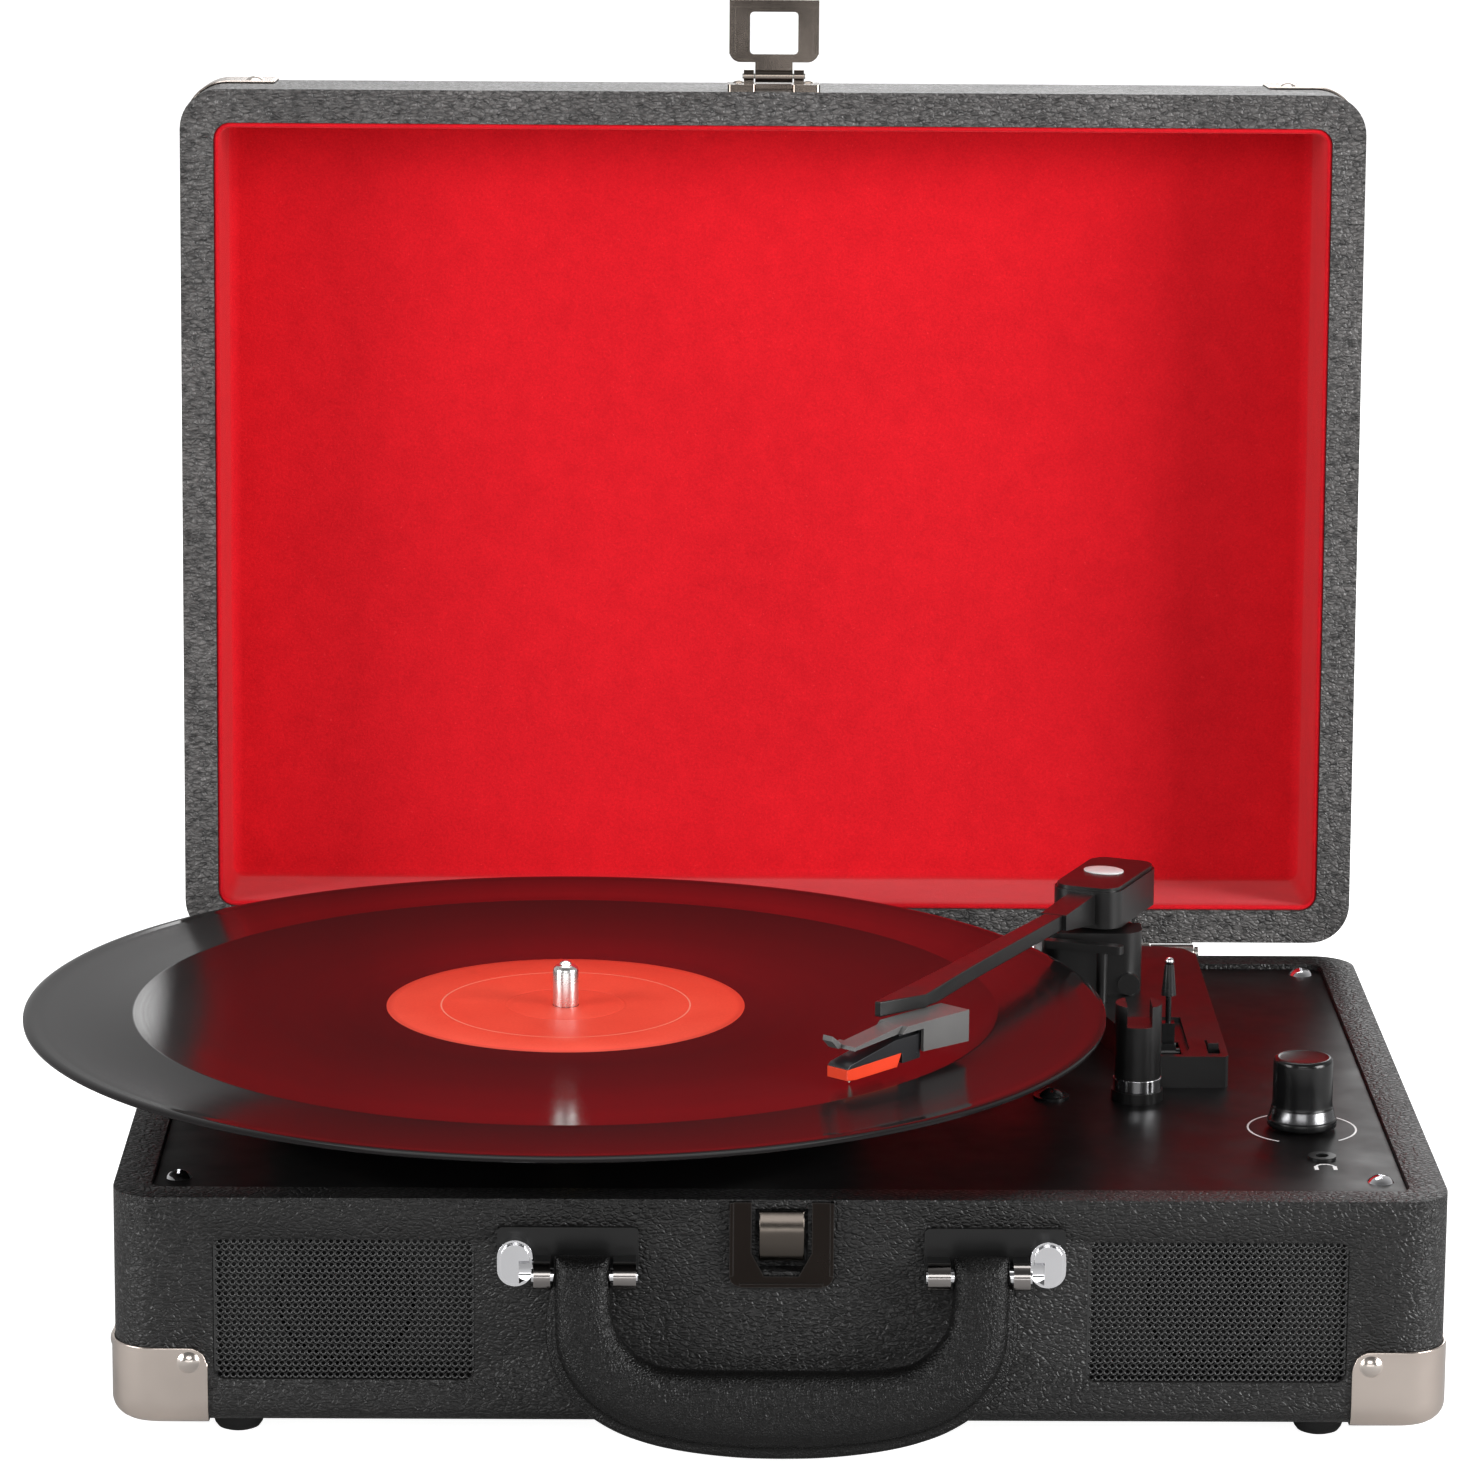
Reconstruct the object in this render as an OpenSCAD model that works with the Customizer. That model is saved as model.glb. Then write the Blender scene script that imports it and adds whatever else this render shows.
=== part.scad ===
// Suitcase record player: leatherette case with leaning lid, belt-driven
// platter, pivoted tonearm, front speakers, carrying handle and snap latch.
// Coordinates inside F(): x from the case centre, y from the front face, z from the table.

/* [Case] */
// Outer width of the case
case_w = 355; // [350:1:360]
// Outer depth of the case, front to back
case_d = 258; // [255:1:262]
// Height of the underside of the case above the table
case_z0 = 6; // [5:0.5:7]
// Height of the rim of the lower half above the table
case_z1 = 68.4; // [67:0.2:70]
// Wall thickness of both halves, wrap included
wall = 10; // [9:0.5:11]
// Radius of the upright corners
corner_r = 12; // [8:1:14]

/* [Lid] */
// Depth of the lid
lid_h = 52; // [48:1:58]
// Clear depth inside the lid
lid_in = 44; // [40:1:48]
// How far the open lid leans back past upright, in degrees
lid_lean = 3.5; // [0:0.5:8]
// Thickness of the felt lining
felt_t = 1.5; // [1:0.1:2]

/* [Deck] */
// How far the deck lies below the rim
deck_drop = 1.5; // [1:0.1:3]
// Thickness of the moulded deck
deck_t = 3; // [2.5:0.5:4]

/* [Platter] */
// Spindle position across the case
plat_x = -58.9; // [-60:0.1:-57]
// Spindle position behind the front face
plat_y = 103.6; // [102:0.1:105]
// Radius of the platter
plat_r = 84; // [80:1:86]
// Height of the top of the slip mat above the table
mat_z = 91.8; // [91:0.1:92]
// Radius of a long-playing record
lp_r = 150.8; // [150:0.1:151]
// Thickness of the record
lp_t = 1.8; // [1.5:0.1:2]
// Radius of the spindle
spin_r = 3.58; // [3.5:0.01:3.6]
// Radius of the belt track under the platter
track_r = 60; // [55:1:62]
// Radius of the motor pulley
pulley_r = 4; // [3:0.5:5]
// Distance from spindle to motor shaft
motor_off = 72; // [70:1:73]

/* [Tonearm] */
// Pivot position across the case
arm_x = 98; // [96:0.5:100]
// Pivot position behind the front face
arm_y = 203; // [200:1:206]
// Height of the horizontal pivot pin
arm_z = 100; // [98:0.5:102]
// Angle of the arm from straight forward, in degrees
arm_a = 23; // [20:0.5:26]
// Angle of the cartridge from straight forward, in degrees
head_a = 43; // [40:1:46]

/* [Handle] */
// Height of the handle pins
grip_z = 50; // [48:0.5:52]
// Distance of the handle pins in front of the case
grip_y = 8.5; // [8:0.5:10]
// How far the resting handle leans out from hanging, in degrees
grip_lean = 12; // [5:1:20]

/* [Hidden] */
$fn = 96;
ox = -15.05; oy = 141.7;
zd = case_z1 - deck_drop;
yh = case_d + 3.2; zh = case_z1 - 0.1;
lz = case_z1 + 0.5;
lp_z = mat_z + lp_t;
sx = 115.9; sw = 69.4; sh = 38.8; sz = 37.6;
tip = [18.1, 24.4];
hx = 110;

// ---------- frames ----------
module F() { translate([-ox, -oy, 0]) children(); }
// lid, drawn shut and turned open about the hinge pin
module L() { F() translate([0, yh, zh]) rotate([-(90 + lid_lean), 0, 0]) translate([0, -yh, -zh]) children(); }
// platter axis
module P() { F() translate([plat_x, plat_y, 0]) children(); }
// tonearm: +x runs forward along the arm, +y to its right side seen from the pivot
module A() { F() translate([arm_x, arm_y, 0]) rotate([0, 0, -90 - arm_a]) children(); }
// cartridge: origin under the stylus tip, +x runs back along the cartridge
module H() { F() translate([tip[0], tip[1], 0]) rotate([0, 0, 90 - head_a]) children(); }
// handle, drawn hanging straight down from its pins
module G() { F() translate([0, -grip_y, grip_z]) rotate([-grip_lean, 0, 0]) children(); }

// ---------- shapes ----------
module rrect(w, d, r) {
  square([w - 2*r, d], center = true);
  square([w, d - 2*r], center = true);
  for (x = [-1, 1], y = [-1, 1]) translate([x*(w/2 - r), y*(d/2 - r)]) circle(r);
}
module rbox(w, d, h, r) { linear_extrude(h) rrect(w, d, r); }
module cbox(x0, x1, y0, y1, z0, z1) { translate([x0, y0, z0]) cube([x1 - x0, y1 - y0, z1 - z0]); }
// prism along X from a profile of [y, z] points
module xprism(x0, x1, pts) { translate([x0, 0, 0]) rotate([90, 0, 90]) linear_extrude(x1 - x0) polygon(pts); }
// prism along Y from a profile drawn in x, z
module yprism(y0, y1) { translate([0, y1, 0]) rotate([90, 0, 0]) linear_extrude(y1 - y0) children(); }
module xcyl(r, x0, x1) { translate([x0, 0, 0]) rotate([0, 90, 0]) cylinder(r = r, h = x1 - x0); }
module ycyl(r, y0, y1) { translate([0, y1, 0]) rotate([90, 0, 0]) cylinder(r = r, h = y1 - y0); }
// low dome: rivet or screw head of radius r and height h, flat side at z = 0
module dome(r, h) { rr = (r*r + h*h)/(2*h);
  intersection() { translate([0, 0, h - rr]) sphere(rr); cylinder(r = r + 1, h = h + 1); } }
module rivet(r, h, sr, len) { dome(r, h); translate([0, 0, -len]) cylinder(r = sr, h = len + 0.2); }
// cross slot cutter for screw heads
module cross(r, z) { for (a = [0, 90]) rotate([0, 0, a]) translate([-r, -0.35, z]) cube([2*r, 0.7, 3]); }

// corner guards for the closed end of a w x d box at z = 0, standing up along +z
module guard_set(w, d, r, t, len, h) {
  for (sx = [-1, 1], sy = [-1, 1]) intersection() {
    difference() {
      translate([0, 0, -t]) rbox(w + 2*t, d + 2*t, h + t + 2, r + t);
      rbox(w, d, h + 9, r);
      translate([0, 0, -t - 1]) rbox(w - 24, d - 24, t + 2, 2);
    }
    union() {
      translate([sx*(w/2 - len/2 + t), 0, 0]) yprism(sy > 0 ? d/2 - r : -d/2 - 2, sy > 0 ? d/2 + 2 : -d/2 + r)
        { translate([0, h - 8 - 6]) square([len + 2*t + 2*t, 28], center = true);
          translate([0, h - 8]) rrect(len + 2*t, 16, 7.9); translate([sx*5, h - 8]) square([len + 2*t - 10, 16], center = true); }
      translate([0, sy*(d/2 - len/2 + t), 0]) rotate([0, 0, 90]) yprism(sx > 0 ? -w/2 - 2 : w/2 - r, sx > 0 ? -w/2 + r : w/2 + 2)
        { translate([0, h - 8 - 6]) square([len + 2*t + 2*t, 28], center = true);
          translate([0, h - 8]) rrect(len + 2*t, 16, 7.9); translate([sy*5, h - 8]) square([len + 2*t - 10, 16], center = true); }
    }
  }
}
// places for the two side rivets of each guard, axis pointing out
module guard_rivets(w, d, t, z) {
  for (sx = [-1, 1], sy = [-1, 1]) {
    translate([sx*(w/2 - 20.4), sy*(d/2 + t), z]) rotate([sy > 0 ? -90 : 90, 0, 0]) children();
    translate([sx*(w/2 + t), sy*(d/2 - 20.4), z]) rotate([0, sx > 0 ? 90 : -90, 0]) children();
  }
}

// ---------- lower half ----------
module deck_pts() { for (x = [-161, 161], y = [24, 242]) translate([x, y, 0]) children(); }
module hinge_pts() { for (x = [-hx, hx]) translate([x, 0, 0]) children(); }
module grille_hole(dw, y0, y1, r) { for (s = [-1, 1]) translate([s*sx, 0, sz]) yprism(y0, y1) rrect(sw + dw, sh + dw, r); }

module base_case() { color([0.13, 0.12, 0.12]) F() difference() {
  union() {
    difference() {
      translate([0, case_d/2, case_z0]) rbox(case_w, case_d, case_z1 - case_z0, corner_r);
      translate([0, case_d/2, case_z0 - 1]) rbox(case_w - 2*wall, case_d - 2*wall, 80, 4);
    }
    for (x = [-1, 1], y = [wall, case_d - wall - 22]) translate([x > 0 ? case_w/2 - wall - 14 : -case_w/2 + wall, y, case_z0 + 4]) cube([14, 22, zd - deck_t - case_z0 - 4]);
  }
  grille_hole(0, -1, wall + 1, 3);
  cbox(-7, 7, -1, 5, 48.6, 66);
  cbox(-62, -2, case_d - wall - 1, case_d + 1, 22, 46);
  deck_pts() translate([0, 0, 50]) cylinder(r = 1.6, h = 20);
  for (x = [-1, 1], y = [21, case_d - 21]) translate([x*(case_w/2 - 21), y, 5]) cylinder(r = 1.5, h = 14);
  translate([0, case_d/2, case_z0]) guard_rivets(case_w, case_d, 0.9, 17) translate([0, 0, -5]) cylinder(r = 1.3, h = 6);
  hinge_pts() for (x = [-13, 13]) translate([x, 0, 57]) ycyl(1.1, case_d - 6, case_d + 1);
} }
module bottom_panel() { color([0.2, 0.18, 0.16]) F() difference() {
  translate([0, case_d/2, case_z0]) rbox(case_w - 2*wall - 0.6, case_d - 2*wall - 0.6, 4, 3.7);
  for (x = [-1, 1], y = [21, case_d - 21]) translate([x*(case_w/2 - 21), y, 5]) cylinder(r = 1.5, h = 14);
  for (s = [-1, 1], i = [-4:4]) translate([s*115, 129 + i*7, 5]) cbox(-16, 16, -1.2, 1.2, 0, 6);
} }
module rubber_feet() { color([0.06, 0.06, 0.06]) F() for (x = [-145, 145], y = [15.6, case_d - 15.6]) translate([x, y, 0])
  rotate_extrude() polygon([[0, 0], [4.4, 0], [5.6, 0.5], [6.4, 1.6], [6.9, 3.2], [7, case_z0], [0, case_z0]]); }
module deck_plate() { color([0.05, 0.05, 0.055]) F() difference() {
  union() {
    translate([0, case_d/2, zd - deck_t]) rbox(case_w - 2*wall - 0.6, case_d - 2*wall - 0.6, deck_t, 3.7);
    translate([144.9, 75.5, zd - 0.1]) cylinder(r = 6, h = 0.4);
  }
  translate([plat_x, plat_y, zd - 9]) cylinder(r = 9.2, h = 20);
  motor_at() translate([0, 0, zd - 9]) cylinder(r = 3, h = 20);
  deck_pts() translate([0, 0, 50]) cylinder(r = 1.7, h = 30);
  translate([77.4, 105.2, 50]) cylinder(r = 2.1, h = 30);
  translate([144.9, 75.5, 50]) cylinder(r = 3.6, h = 30);
  translate([147.5, 46, 50]) cylinder(r = 3.05, h = 30);
  translate([arm_x, arm_y, 50]) cylinder(r = 4, h = 30);
  cbox(119, 123.4, 118, 134, 50, 80);
} }
module deck_screws() { color([0.8, 0.8, 0.82]) F() deck_pts() translate([0, 0, zd]) difference() { rivet(3.6, 2.0, 1.5, 14); cross(2, 0.9); } }
module base_corner_guards() { color([0.45, 0.42, 0.4]) F() translate([0, case_d/2, case_z0]) difference() {
  guard_set(case_w, case_d, corner_r, 0.9, 25.5, 21);
  guard_rivets(case_w, case_d, 0.9, 17) translate([0, 0, -5]) cylinder(r = 1.3, h = 6); } }
module base_corner_rivets() { color([0.62, 0.6, 0.58]) F() translate([0, case_d/2, case_z0]) guard_rivets(case_w, case_d, 0.9, 17) rivet(3, 1.2, 1.2, 4.5); }

module speaker_grilles() { color([0.08, 0.08, 0.08]) F() difference() {
  grille_hole(-0.4, 1.2, 2.2, 2.8);
  for (s = [-1, 1]) for (i = [-4:4], j = [-1:1]) translate([s*sx + i*7, 0, sz + j*10]) ycyl(0.8, 0, 4);
} }
module speaker_frames() { color([0.1, 0.1, 0.1]) F() for (s = [-1, 1]) translate([s*sx, 0, sz]) {
  difference() {
    union() { yprism(10, 12.5) rrect(72, 42, 6); ycyl(17.5, 12.5, 24); ycyl(14, 24, 33); }
    ycyl(18.6, 9, 12.6); ycyl(16, 12.4, 22);
  }
} }
module speaker_cones() { color([0.14, 0.14, 0.15]) F() for (s = [-1, 1]) translate([s*sx, 21.6, sz]) rotate([90, 0, 0])
  rotate_extrude() polygon([[0, 2.2], [4, 1.2], [5.6, 0.6], [13.6, 7.4], [15.8, 7.9], [15.8, 8.6], [13.2, 8.4], [5.2, 2.2], [3.4, 2.9], [0, 3.4]]); }

module latch_strike_plate() { color([0.3, 0.27, 0.25]) F() difference() {
  union() {
    yprism(-1.2, 0) { translate([0, 58]) square([27.6, 20], center = true); translate([0, 49]) rrect(27.6, 8.6, 3); }
    for (x = [-13.8, 12.8]) cbox(x, x + 1, -1.9, 0, 47.8, 68);
    cbox(-11, 11, -1.9, 0, 44.7, 45.7);
  }
  yprism(-3, 1) polygon([[-8, 70], [8, 70], [8, 54], [4.6, 47.6], [-4.6, 47.6], [-8, 54]]);
} }
module latch_hook() { color([0.62, 0.57, 0.53]) F() {
  intersection() {
    difference() { translate([0, 10.4, 59]) xcyl(14, -6, 6); translate([0, 10.4, 59]) xcyl(12.8, -7, 7); }
    cbox(-6, 6, -5, 3, 52.2, 65.8);
  }
  cbox(-4, 4, -2.6, 5, 57, 61);
} }

// ---------- handle ----------
module handle_mounts() { color([0.07, 0.07, 0.07]) F() for (s = [-1, 1]) difference() {
  union() {
    translate([s*56.5, 0, 53.2]) yprism(-1.5, 0) rrect(37.4, 15.6, 1.5);
    for (a = [[61, 65.4], [38.4, 44.4]]) translate([0, -grip_y, grip_z]) {
      cbox(s > 0 ? a[0] : -a[1], s > 0 ? a[1] : -a[0], 0, grip_y - 1, -3.4, 3.4);
      xcyl(3.7, s > 0 ? a[0] : -a[1], s > 0 ? a[1] : -a[0]);
    }
  }
  translate([0, -grip_y, grip_z]) xcyl(2.02, s > 0 ? 30 : -80, s > 0 ? 80 : -30);
} }
module handle_end_caps() { color([0.85, 0.85, 0.86]) F() for (s = [-1, 1]) translate([s*70.4, 0, 52.2]) difference() {
  union() { yprism(-5.2, -1.5) rrect(9.4, 12.6, 4.6); yprism(-6.4, -5) rrect(7.6, 10.8, 3.7); }
  translate([-s*3.2, -grip_y, -2.2]) xcyl(3.9, -2.1, 2.1);
} }
module handle_pins() { color([0.8, 0.8, 0.81]) F() for (s = [-1, 1]) translate([0, -grip_y, grip_z]) xcyl(2, s > 0 ? 38 : -66, s > 0 ? 66 : -38); }
module grip2(o) { polygon(concat(
  [for (p = [[62.5, -9], [62, -17], [60.2, -24], [56.8, -30.5], [51.5, -36.2], [44, -41], [36, -44], [28, -45.9], [20, -47.1], [10, -47.9], [0, -48.2]]) [p[0] - o*(p[0] > 40 ? 1 : p[0]/60), p[1] + o*(p[0] < 55 ? 1 : 0.3)]],
  [for (p = [[10, -47.9], [20, -47.1], [28, -45.9], [36, -44], [44, -41], [51.5, -36.2], [56.8, -30.5], [60.2, -24], [62, -17], [62.5, -9]]) [-p[0] + o*(p[0] > 40 ? 1 : p[0]/60), p[1] + o*(p[0] < 55 ? 1 : 0.3)]],
  [[-60, -9], [-60, 0], [-45, 0], [-45, -8], [-43.5, -14], [-39.5, -19.5], [-34, -23], [-27, -24.4], [-12, -24.8], [12, -24.8], [27, -24.4], [34, -23], [39.5, -19.5], [43.5, -14], [45, -8], [45, 0], [60, 0], [60, -9]])); }
module handle_grip() { color([0.09, 0.09, 0.09]) G() difference() {
  union() {
    yprism(-5.5, 5.5) intersection() { grip2(2.6); translate([-60, -60]) square([120, 60]); }
    yprism(-1.5, 1.5) grip2(0);
    for (s = [-1, 1]) xcyl(5.5, s > 0 ? 45 : -60, s > 0 ? 60 : -45);
  }
  for (s = [-1, 1]) xcyl(2.06, s > 0 ? 30 : -70, s > 0 ? 70 : -30);
} }

// ---------- hinges ----------
module hinge_base_leaves() { color([0.6, 0.58, 0.55]) F() hinge_pts() difference() {
  union() {
    cbox(-20, 20, case_d, case_d + 1, 50, zh - 3.4);
    for (x = [[-20, -7], [7, 20]]) { cbox(x[0], x[1], case_d, case_d + 1, 60, zh); translate([0, yh, zh]) xcyl(2.7, x[0], x[1]); }
  }
  translate([0, yh, zh]) xcyl(1.25, -30, 30);
  for (x = [-13, 13]) translate([x, 0, 57]) ycyl(1.1, case_d - 6, case_d + 3);
} }
module hinge_pins() { color([0.7, 0.7, 0.7]) F() hinge_pts() translate([0, yh, zh]) { xcyl(1.2, -20.4, 20.4); xcyl(2, -21.4, -20.4); xcyl(2, 20.4, 21.4); } }
module hinge_base_screws() { color([0.7, 0.68, 0.66]) F() hinge_pts() for (x = [-13, 13]) translate([x, case_d + 1, 57]) rotate([-90, 0, 0]) difference() { rivet(2.5, 1.1, 1, 5.5); cross(1.6, 0.5); } }
module hinge_lid_leaves() { color([0.6, 0.58, 0.55]) L() hinge_pts() difference() {
  union() {
    cbox(-20, 20, case_d, case_d + 1, lz + 2.9, lz + 18);
    cbox(-6.7, 6.7, case_d, case_d + 1, zh, lz + 5);
    translate([0, yh, zh]) xcyl(2.7, -6.7, 6.7);
  }
  translate([0, yh, zh]) xcyl(1.25, -30, 30);
  for (x = [-13, 13]) translate([x, 0, lz + 11]) ycyl(1.1, case_d - 6, case_d + 3);
} }
module hinge_lid_screws() { color([0.7, 0.68, 0.66]) L() hinge_pts() for (x = [-13, 13]) translate([x, case_d + 1, lz + 11]) rotate([-90, 0, 0]) difference() { rivet(2.5, 1.1, 1, 5.5); cross(1.6, 0.5); } }

// ---------- lid ----------
module lid_flip() { translate([0, case_d/2, lz + lid_h]) mirror([0, 0, 1]) children(); }
module lid_shell() { color([0.13, 0.12, 0.12]) L() difference() {
  translate([0, case_d/2, lz]) rbox(case_w, case_d, lid_h, corner_r);
  translate([0, case_d/2, lz - 1]) rbox(case_w - 2*wall, case_d - 2*wall, lid_in + felt_t + 1, 5);
  lid_flip() guard_rivets(case_w, case_d, 0.9, 17) translate([0, 0, -5]) cylinder(r = 1.3, h = 6);
  hinge_pts() for (x = [-13, 13]) translate([x, 0, lz + 11]) ycyl(1.1, case_d - 6, case_d + 1);
} }
module lid_lining() { color([0.78, 0.05, 0.08]) L() difference() {
  translate([0, case_d/2, lz + 0.6]) rbox(case_w - 2*wall, case_d - 2*wall, lid_in + felt_t - 0.6, 5);
  translate([0, case_d/2, lz - 1]) rbox(case_w - 2*wall - 2*felt_t, case_d - 2*wall - 2*felt_t, lid_in + 1, 4);
} }
module lid_corner_guards() { color([0.45, 0.42, 0.4]) L() lid_flip() difference() {
  guard_set(case_w, case_d, corner_r, 0.9, 25.5, 21);
  guard_rivets(case_w, case_d, 0.9, 17) translate([0, 0, -5]) cylinder(r = 1.3, h = 6); } }
module lid_corner_rivets() { color([0.62, 0.6, 0.58]) L() lid_flip() guard_rivets(case_w, case_d, 0.9, 17) rivet(3, 1.2, 1.2, 4.5); }

// ---------- hasp ----------
hy = -4.6; hz = lz + 4;
module hasp_mount_plate() { color([0.5, 0.46, 0.43]) L() difference() {
  union() {
    yprism(-2.2, 0) { for (s = [-1, 1]) translate([s*9.6, lz + 7.6]) rrect(8.4, 14.6, 1.2); translate([0, lz + 10.4]) square([20, 9], center = true); }
    for (s = [-1, 1]) { translate([0, hy, hz]) xcyl(1.9, s > 0 ? 6 : -9, s > 0 ? 9 : -6); cbox(s > 0 ? 6 : -9, s > 0 ? 9 : -6, hy, 0, hz - 1.4, hz + 1.4);
      translate([s*10.4, -2.2, lz + 10.6]) rotate([90, 0, 0]) dome(1.9, 0.8); }
  }
  translate([0, hy, hz]) xcyl(0.85, -20, 20);
  translate([0, hy, hz]) xcyl(2.5, -5.9, 5.9);
} }
module hasp_pin() { color([0.7, 0.7, 0.7]) L() translate([0, hy, hz]) xcyl(0.8, -9.4, 9.4); }
module hasp_loop() { color([0.42, 0.38, 0.35]) L() difference() {
  union() {
    translate([0, hy, hz]) xcyl(1.9, -5.6, 5.6);
    cbox(-5.6, 5.6, hy - 6, hy, hz - 0.7, hz + 0.7);
    translate([0, hy - 13.4, hz - 0.7]) difference() { rbox(26.8, 18.6, 1.4, 3.4); translate([0, 0.6, -1]) rbox(14.4, 12.6, 4, 1.2); }
    cbox(-13.4, 13.4, hy - 22.7, hy - 20.6, hz - 2.4, hz - 0.6);
    for (s = [-1, 1]) cbox(s > 0 ? 11.6 : -13.4, s > 0 ? 13.4 : -11.6, hy - 21, hy - 6.5, hz - 1.6, hz - 0.6);
  }
  translate([0, hy, hz]) xcyl(0.85, -20, 20);
} }

// ---------- drive ----------
module motor_at() { translate([plat_x, plat_y, 0]) rotate([0, 0, 150]) translate([motor_off, 0, 0]) children(); }
module bearing_housing() { color([0.75, 0.74, 0.7]) P() difference() {
  union() { translate([0, 0, 48]) cylinder(r = 8, h = 22); translate([0, 0, zd - deck_t - 2.5]) cylinder(r = 15, h = 2.5); }
  translate([0, 0, 50]) cylinder(r = 2.55, h = 30);
} }
module spindle() { color([0.82, 0.82, 0.84]) P() rotate_extrude() polygon([[0, 50.2], [2.5, 50.2], [2.5, 71], [3.3, 71], [3.3, lp_z + 0.2], [spin_r, lp_z + 0.2],
  [spin_r, lp_z + 9.8], [3.35, lp_z + 10.7], [2.7, lp_z + 11.4], [1.7, lp_z + 11.8], [1.5, lp_z + 12.4], [0.9, lp_z + 12.8], [0, lp_z + 12.9]]); }
module platter() { color([0.1, 0.1, 0.1]) P() rotate_extrude() polygon([[3.36, 71.4], [10, 71.4], [10, 86.8], [track_r - 2, 86.8], [track_r - 2, 75], [track_r, 75], [track_r, 86.8],
  [plat_r - 2.5, 86.8], [plat_r - 2.5, 73], [plat_r, 73], [plat_r, 89], [plat_r - 0.8, 89.8], [3.36, 89.8]]); }
module slip_mat() { color([0.12, 0.12, 0.12]) P() rotate_extrude() polygon([[3.7, 89.8], [83, 89.8], [83, mat_z - 0.5], [82.5, mat_z], [3.7, mat_z]]); }
module vinyl_record() { color([0.03, 0.03, 0.03]) P() rotate_extrude($fn = 180) polygon([[3.62, mat_z], [lp_r - 1, mat_z], [lp_r, mat_z + 0.5], [lp_r, lp_z - 0.5], [lp_r - 1, lp_z], [3.62, lp_z]]); }
module record_label() { color([0.95, 0.3, 0.2]) P() translate([0, 0, lp_z]) rotate_extrude() polygon([[3.62, 0], [50, 0], [50, 0.12], [3.62, 0.12]]); }
module motor() { color([0.55, 0.55, 0.57]) F() motor_at() difference() {
  union() { translate([0, 0, 36]) cylinder(r = 17.5, h = 24.9); translate([0, 0, 60.9]) rbox(44, 30, zd - deck_t - 60.9, 5); translate([0, 0, 33]) cylinder(r = 5, h = 4); }
  translate([0, 0, 40]) cylinder(r = 1.05, h = 30);
} }
module motor_pulley() { color([0.85, 0.7, 0.35]) F() motor_at() {
  translate([0, 0, 41]) cylinder(r = 1, h = 42);
  rotate_extrude() polygon([[0, 75], [pulley_r + 1, 75], [pulley_r + 1, 75.9], [pulley_r, 76.1], [pulley_r, 81.8], [pulley_r + 1, 82], [pulley_r + 1, 82.8], [0, 82.8]]);
} }
module belt2(t) { hull() { circle(track_r + t, $fn = 120); translate([motor_off, 0]) circle(pulley_r + t, $fn = 32); } }
module drive_belt() { color([0.05, 0.05, 0.05]) P() rotate([0, 0, 150]) translate([0, 0, 76.5]) linear_extrude(5) difference() { belt2(1.0); belt2(0.3); } }
module transit_screw() { color([0.12, 0.12, 0.12]) F() translate([77.4, 105.2, zd]) difference() { union() { cylinder(r = 5, h = 0.7); translate([0, 0, 0.7]) dome(3.6, 2); translate([0, 0, -12]) cylinder(r = 2, h = 12.5); } cross(2.2, 1.8); } }

// ---------- tonearm ----------
plate_pts = [[108.8, 115.5], [127.2, 115.5], [128.1, 117.5], [128.1, 231], [125, 237], [118, 240], [80, 240], [80, 228], [88, 198], [96, 160], [104, 128]];
module tonearm_base_plate() { color([0.05, 0.05, 0.055]) F() difference() {
  translate([0, 0, zd]) linear_extrude(9.1) polygon(plate_pts);
  translate([0, 0, zd - 1]) linear_extrude(8) polygon([[111, 117.5], [126.1, 117.5], [126.1, 229], [118, 238], [82, 238], [82, 228.5], [90, 198], [98, 160], [106, 128]]);
  translate([111.6, 130, zd + 7.6]) { cbox(-6, 6, -5, 28, 0, 5); translate([0, -5, 0]) cylinder(r = 6, h = 5); }
  cbox(107.8, 115.4, 118, 136, 60, 90);
  cbox(122.6, 126, 119, 133, 60, 90);
  translate([arm_x, arm_y, 60]) cylinder(r = 4, h = 40);
  translate([96, 174.7, 60]) cylinder(r = 1.7, h = 40);
} }
zp = zd + 9.1;
module tonearm_pedestal() { color([0.06, 0.06, 0.065]) F() difference() {
  union() {
    translate([93.8, 204, zp]) rbox(29.4, 42, 12, 6);
    intersection() { translate([93.8, 204, zp]) rbox(29.4, 42, 18.4, 6); cbox(70, 120, 170, 196, zp, 100); }
    translate([104.4, 0, zp + 3.4]) ycyl(3.2, 181.6, 184);
  }
  translate([arm_x, arm_y, 60]) cylinder(r = 5.06, h = 60);
  translate([arm_x, arm_y, zp + 12]) cylinder(r = 8.7, h = 20);
} }
module tonearm_turret() { color([0.2, 0.2, 0.21]) A() difference() {
  union() { translate([0, 0, zp + 0.4]) cylinder(r = 5, h = 12.4); translate([0, 0, zp + 12.3]) cylinder(r = 8, h = 2.6); translate([-4.6, -5.4, zp + 14]) cube([9.2, 10.8, 103.4 - zp - 14]); }
  translate([0, 0, arm_z]) ycyl(1.24, -20, 20);
  translate([0, 0, 60]) cylinder(r = 2, h = 36);
} }
module tonearm_pivot_pin() { color([0.75, 0.75, 0.76]) A() translate([0, 0, arm_z]) ycyl(1.2, -8.6, 8.6); }
module tonearm_head() { color([0.05, 0.05, 0.055]) A() difference() {
  union() {
    translate([-0.9, 0, 95.6]) rbox(39.5, 20.9, 10.9, 6);
    translate([-0.9, 0, 106.4]) rbox(37.9, 19.3, 1.2, 5.2);
    translate([0, 3.9, 0]) rotate([90, 0, 0]) linear_extrude(7.8) polygon([[14, 96.2], [44, 100.8], [44, 105.4], [14, 105.9]]);
  }
  translate([0, 0, 90]) rbox(19, 12.6, 15.2, 1);
  translate([0, 0, arm_z]) ycyl(1.25, -8.8, 8.8);
} }
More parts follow.
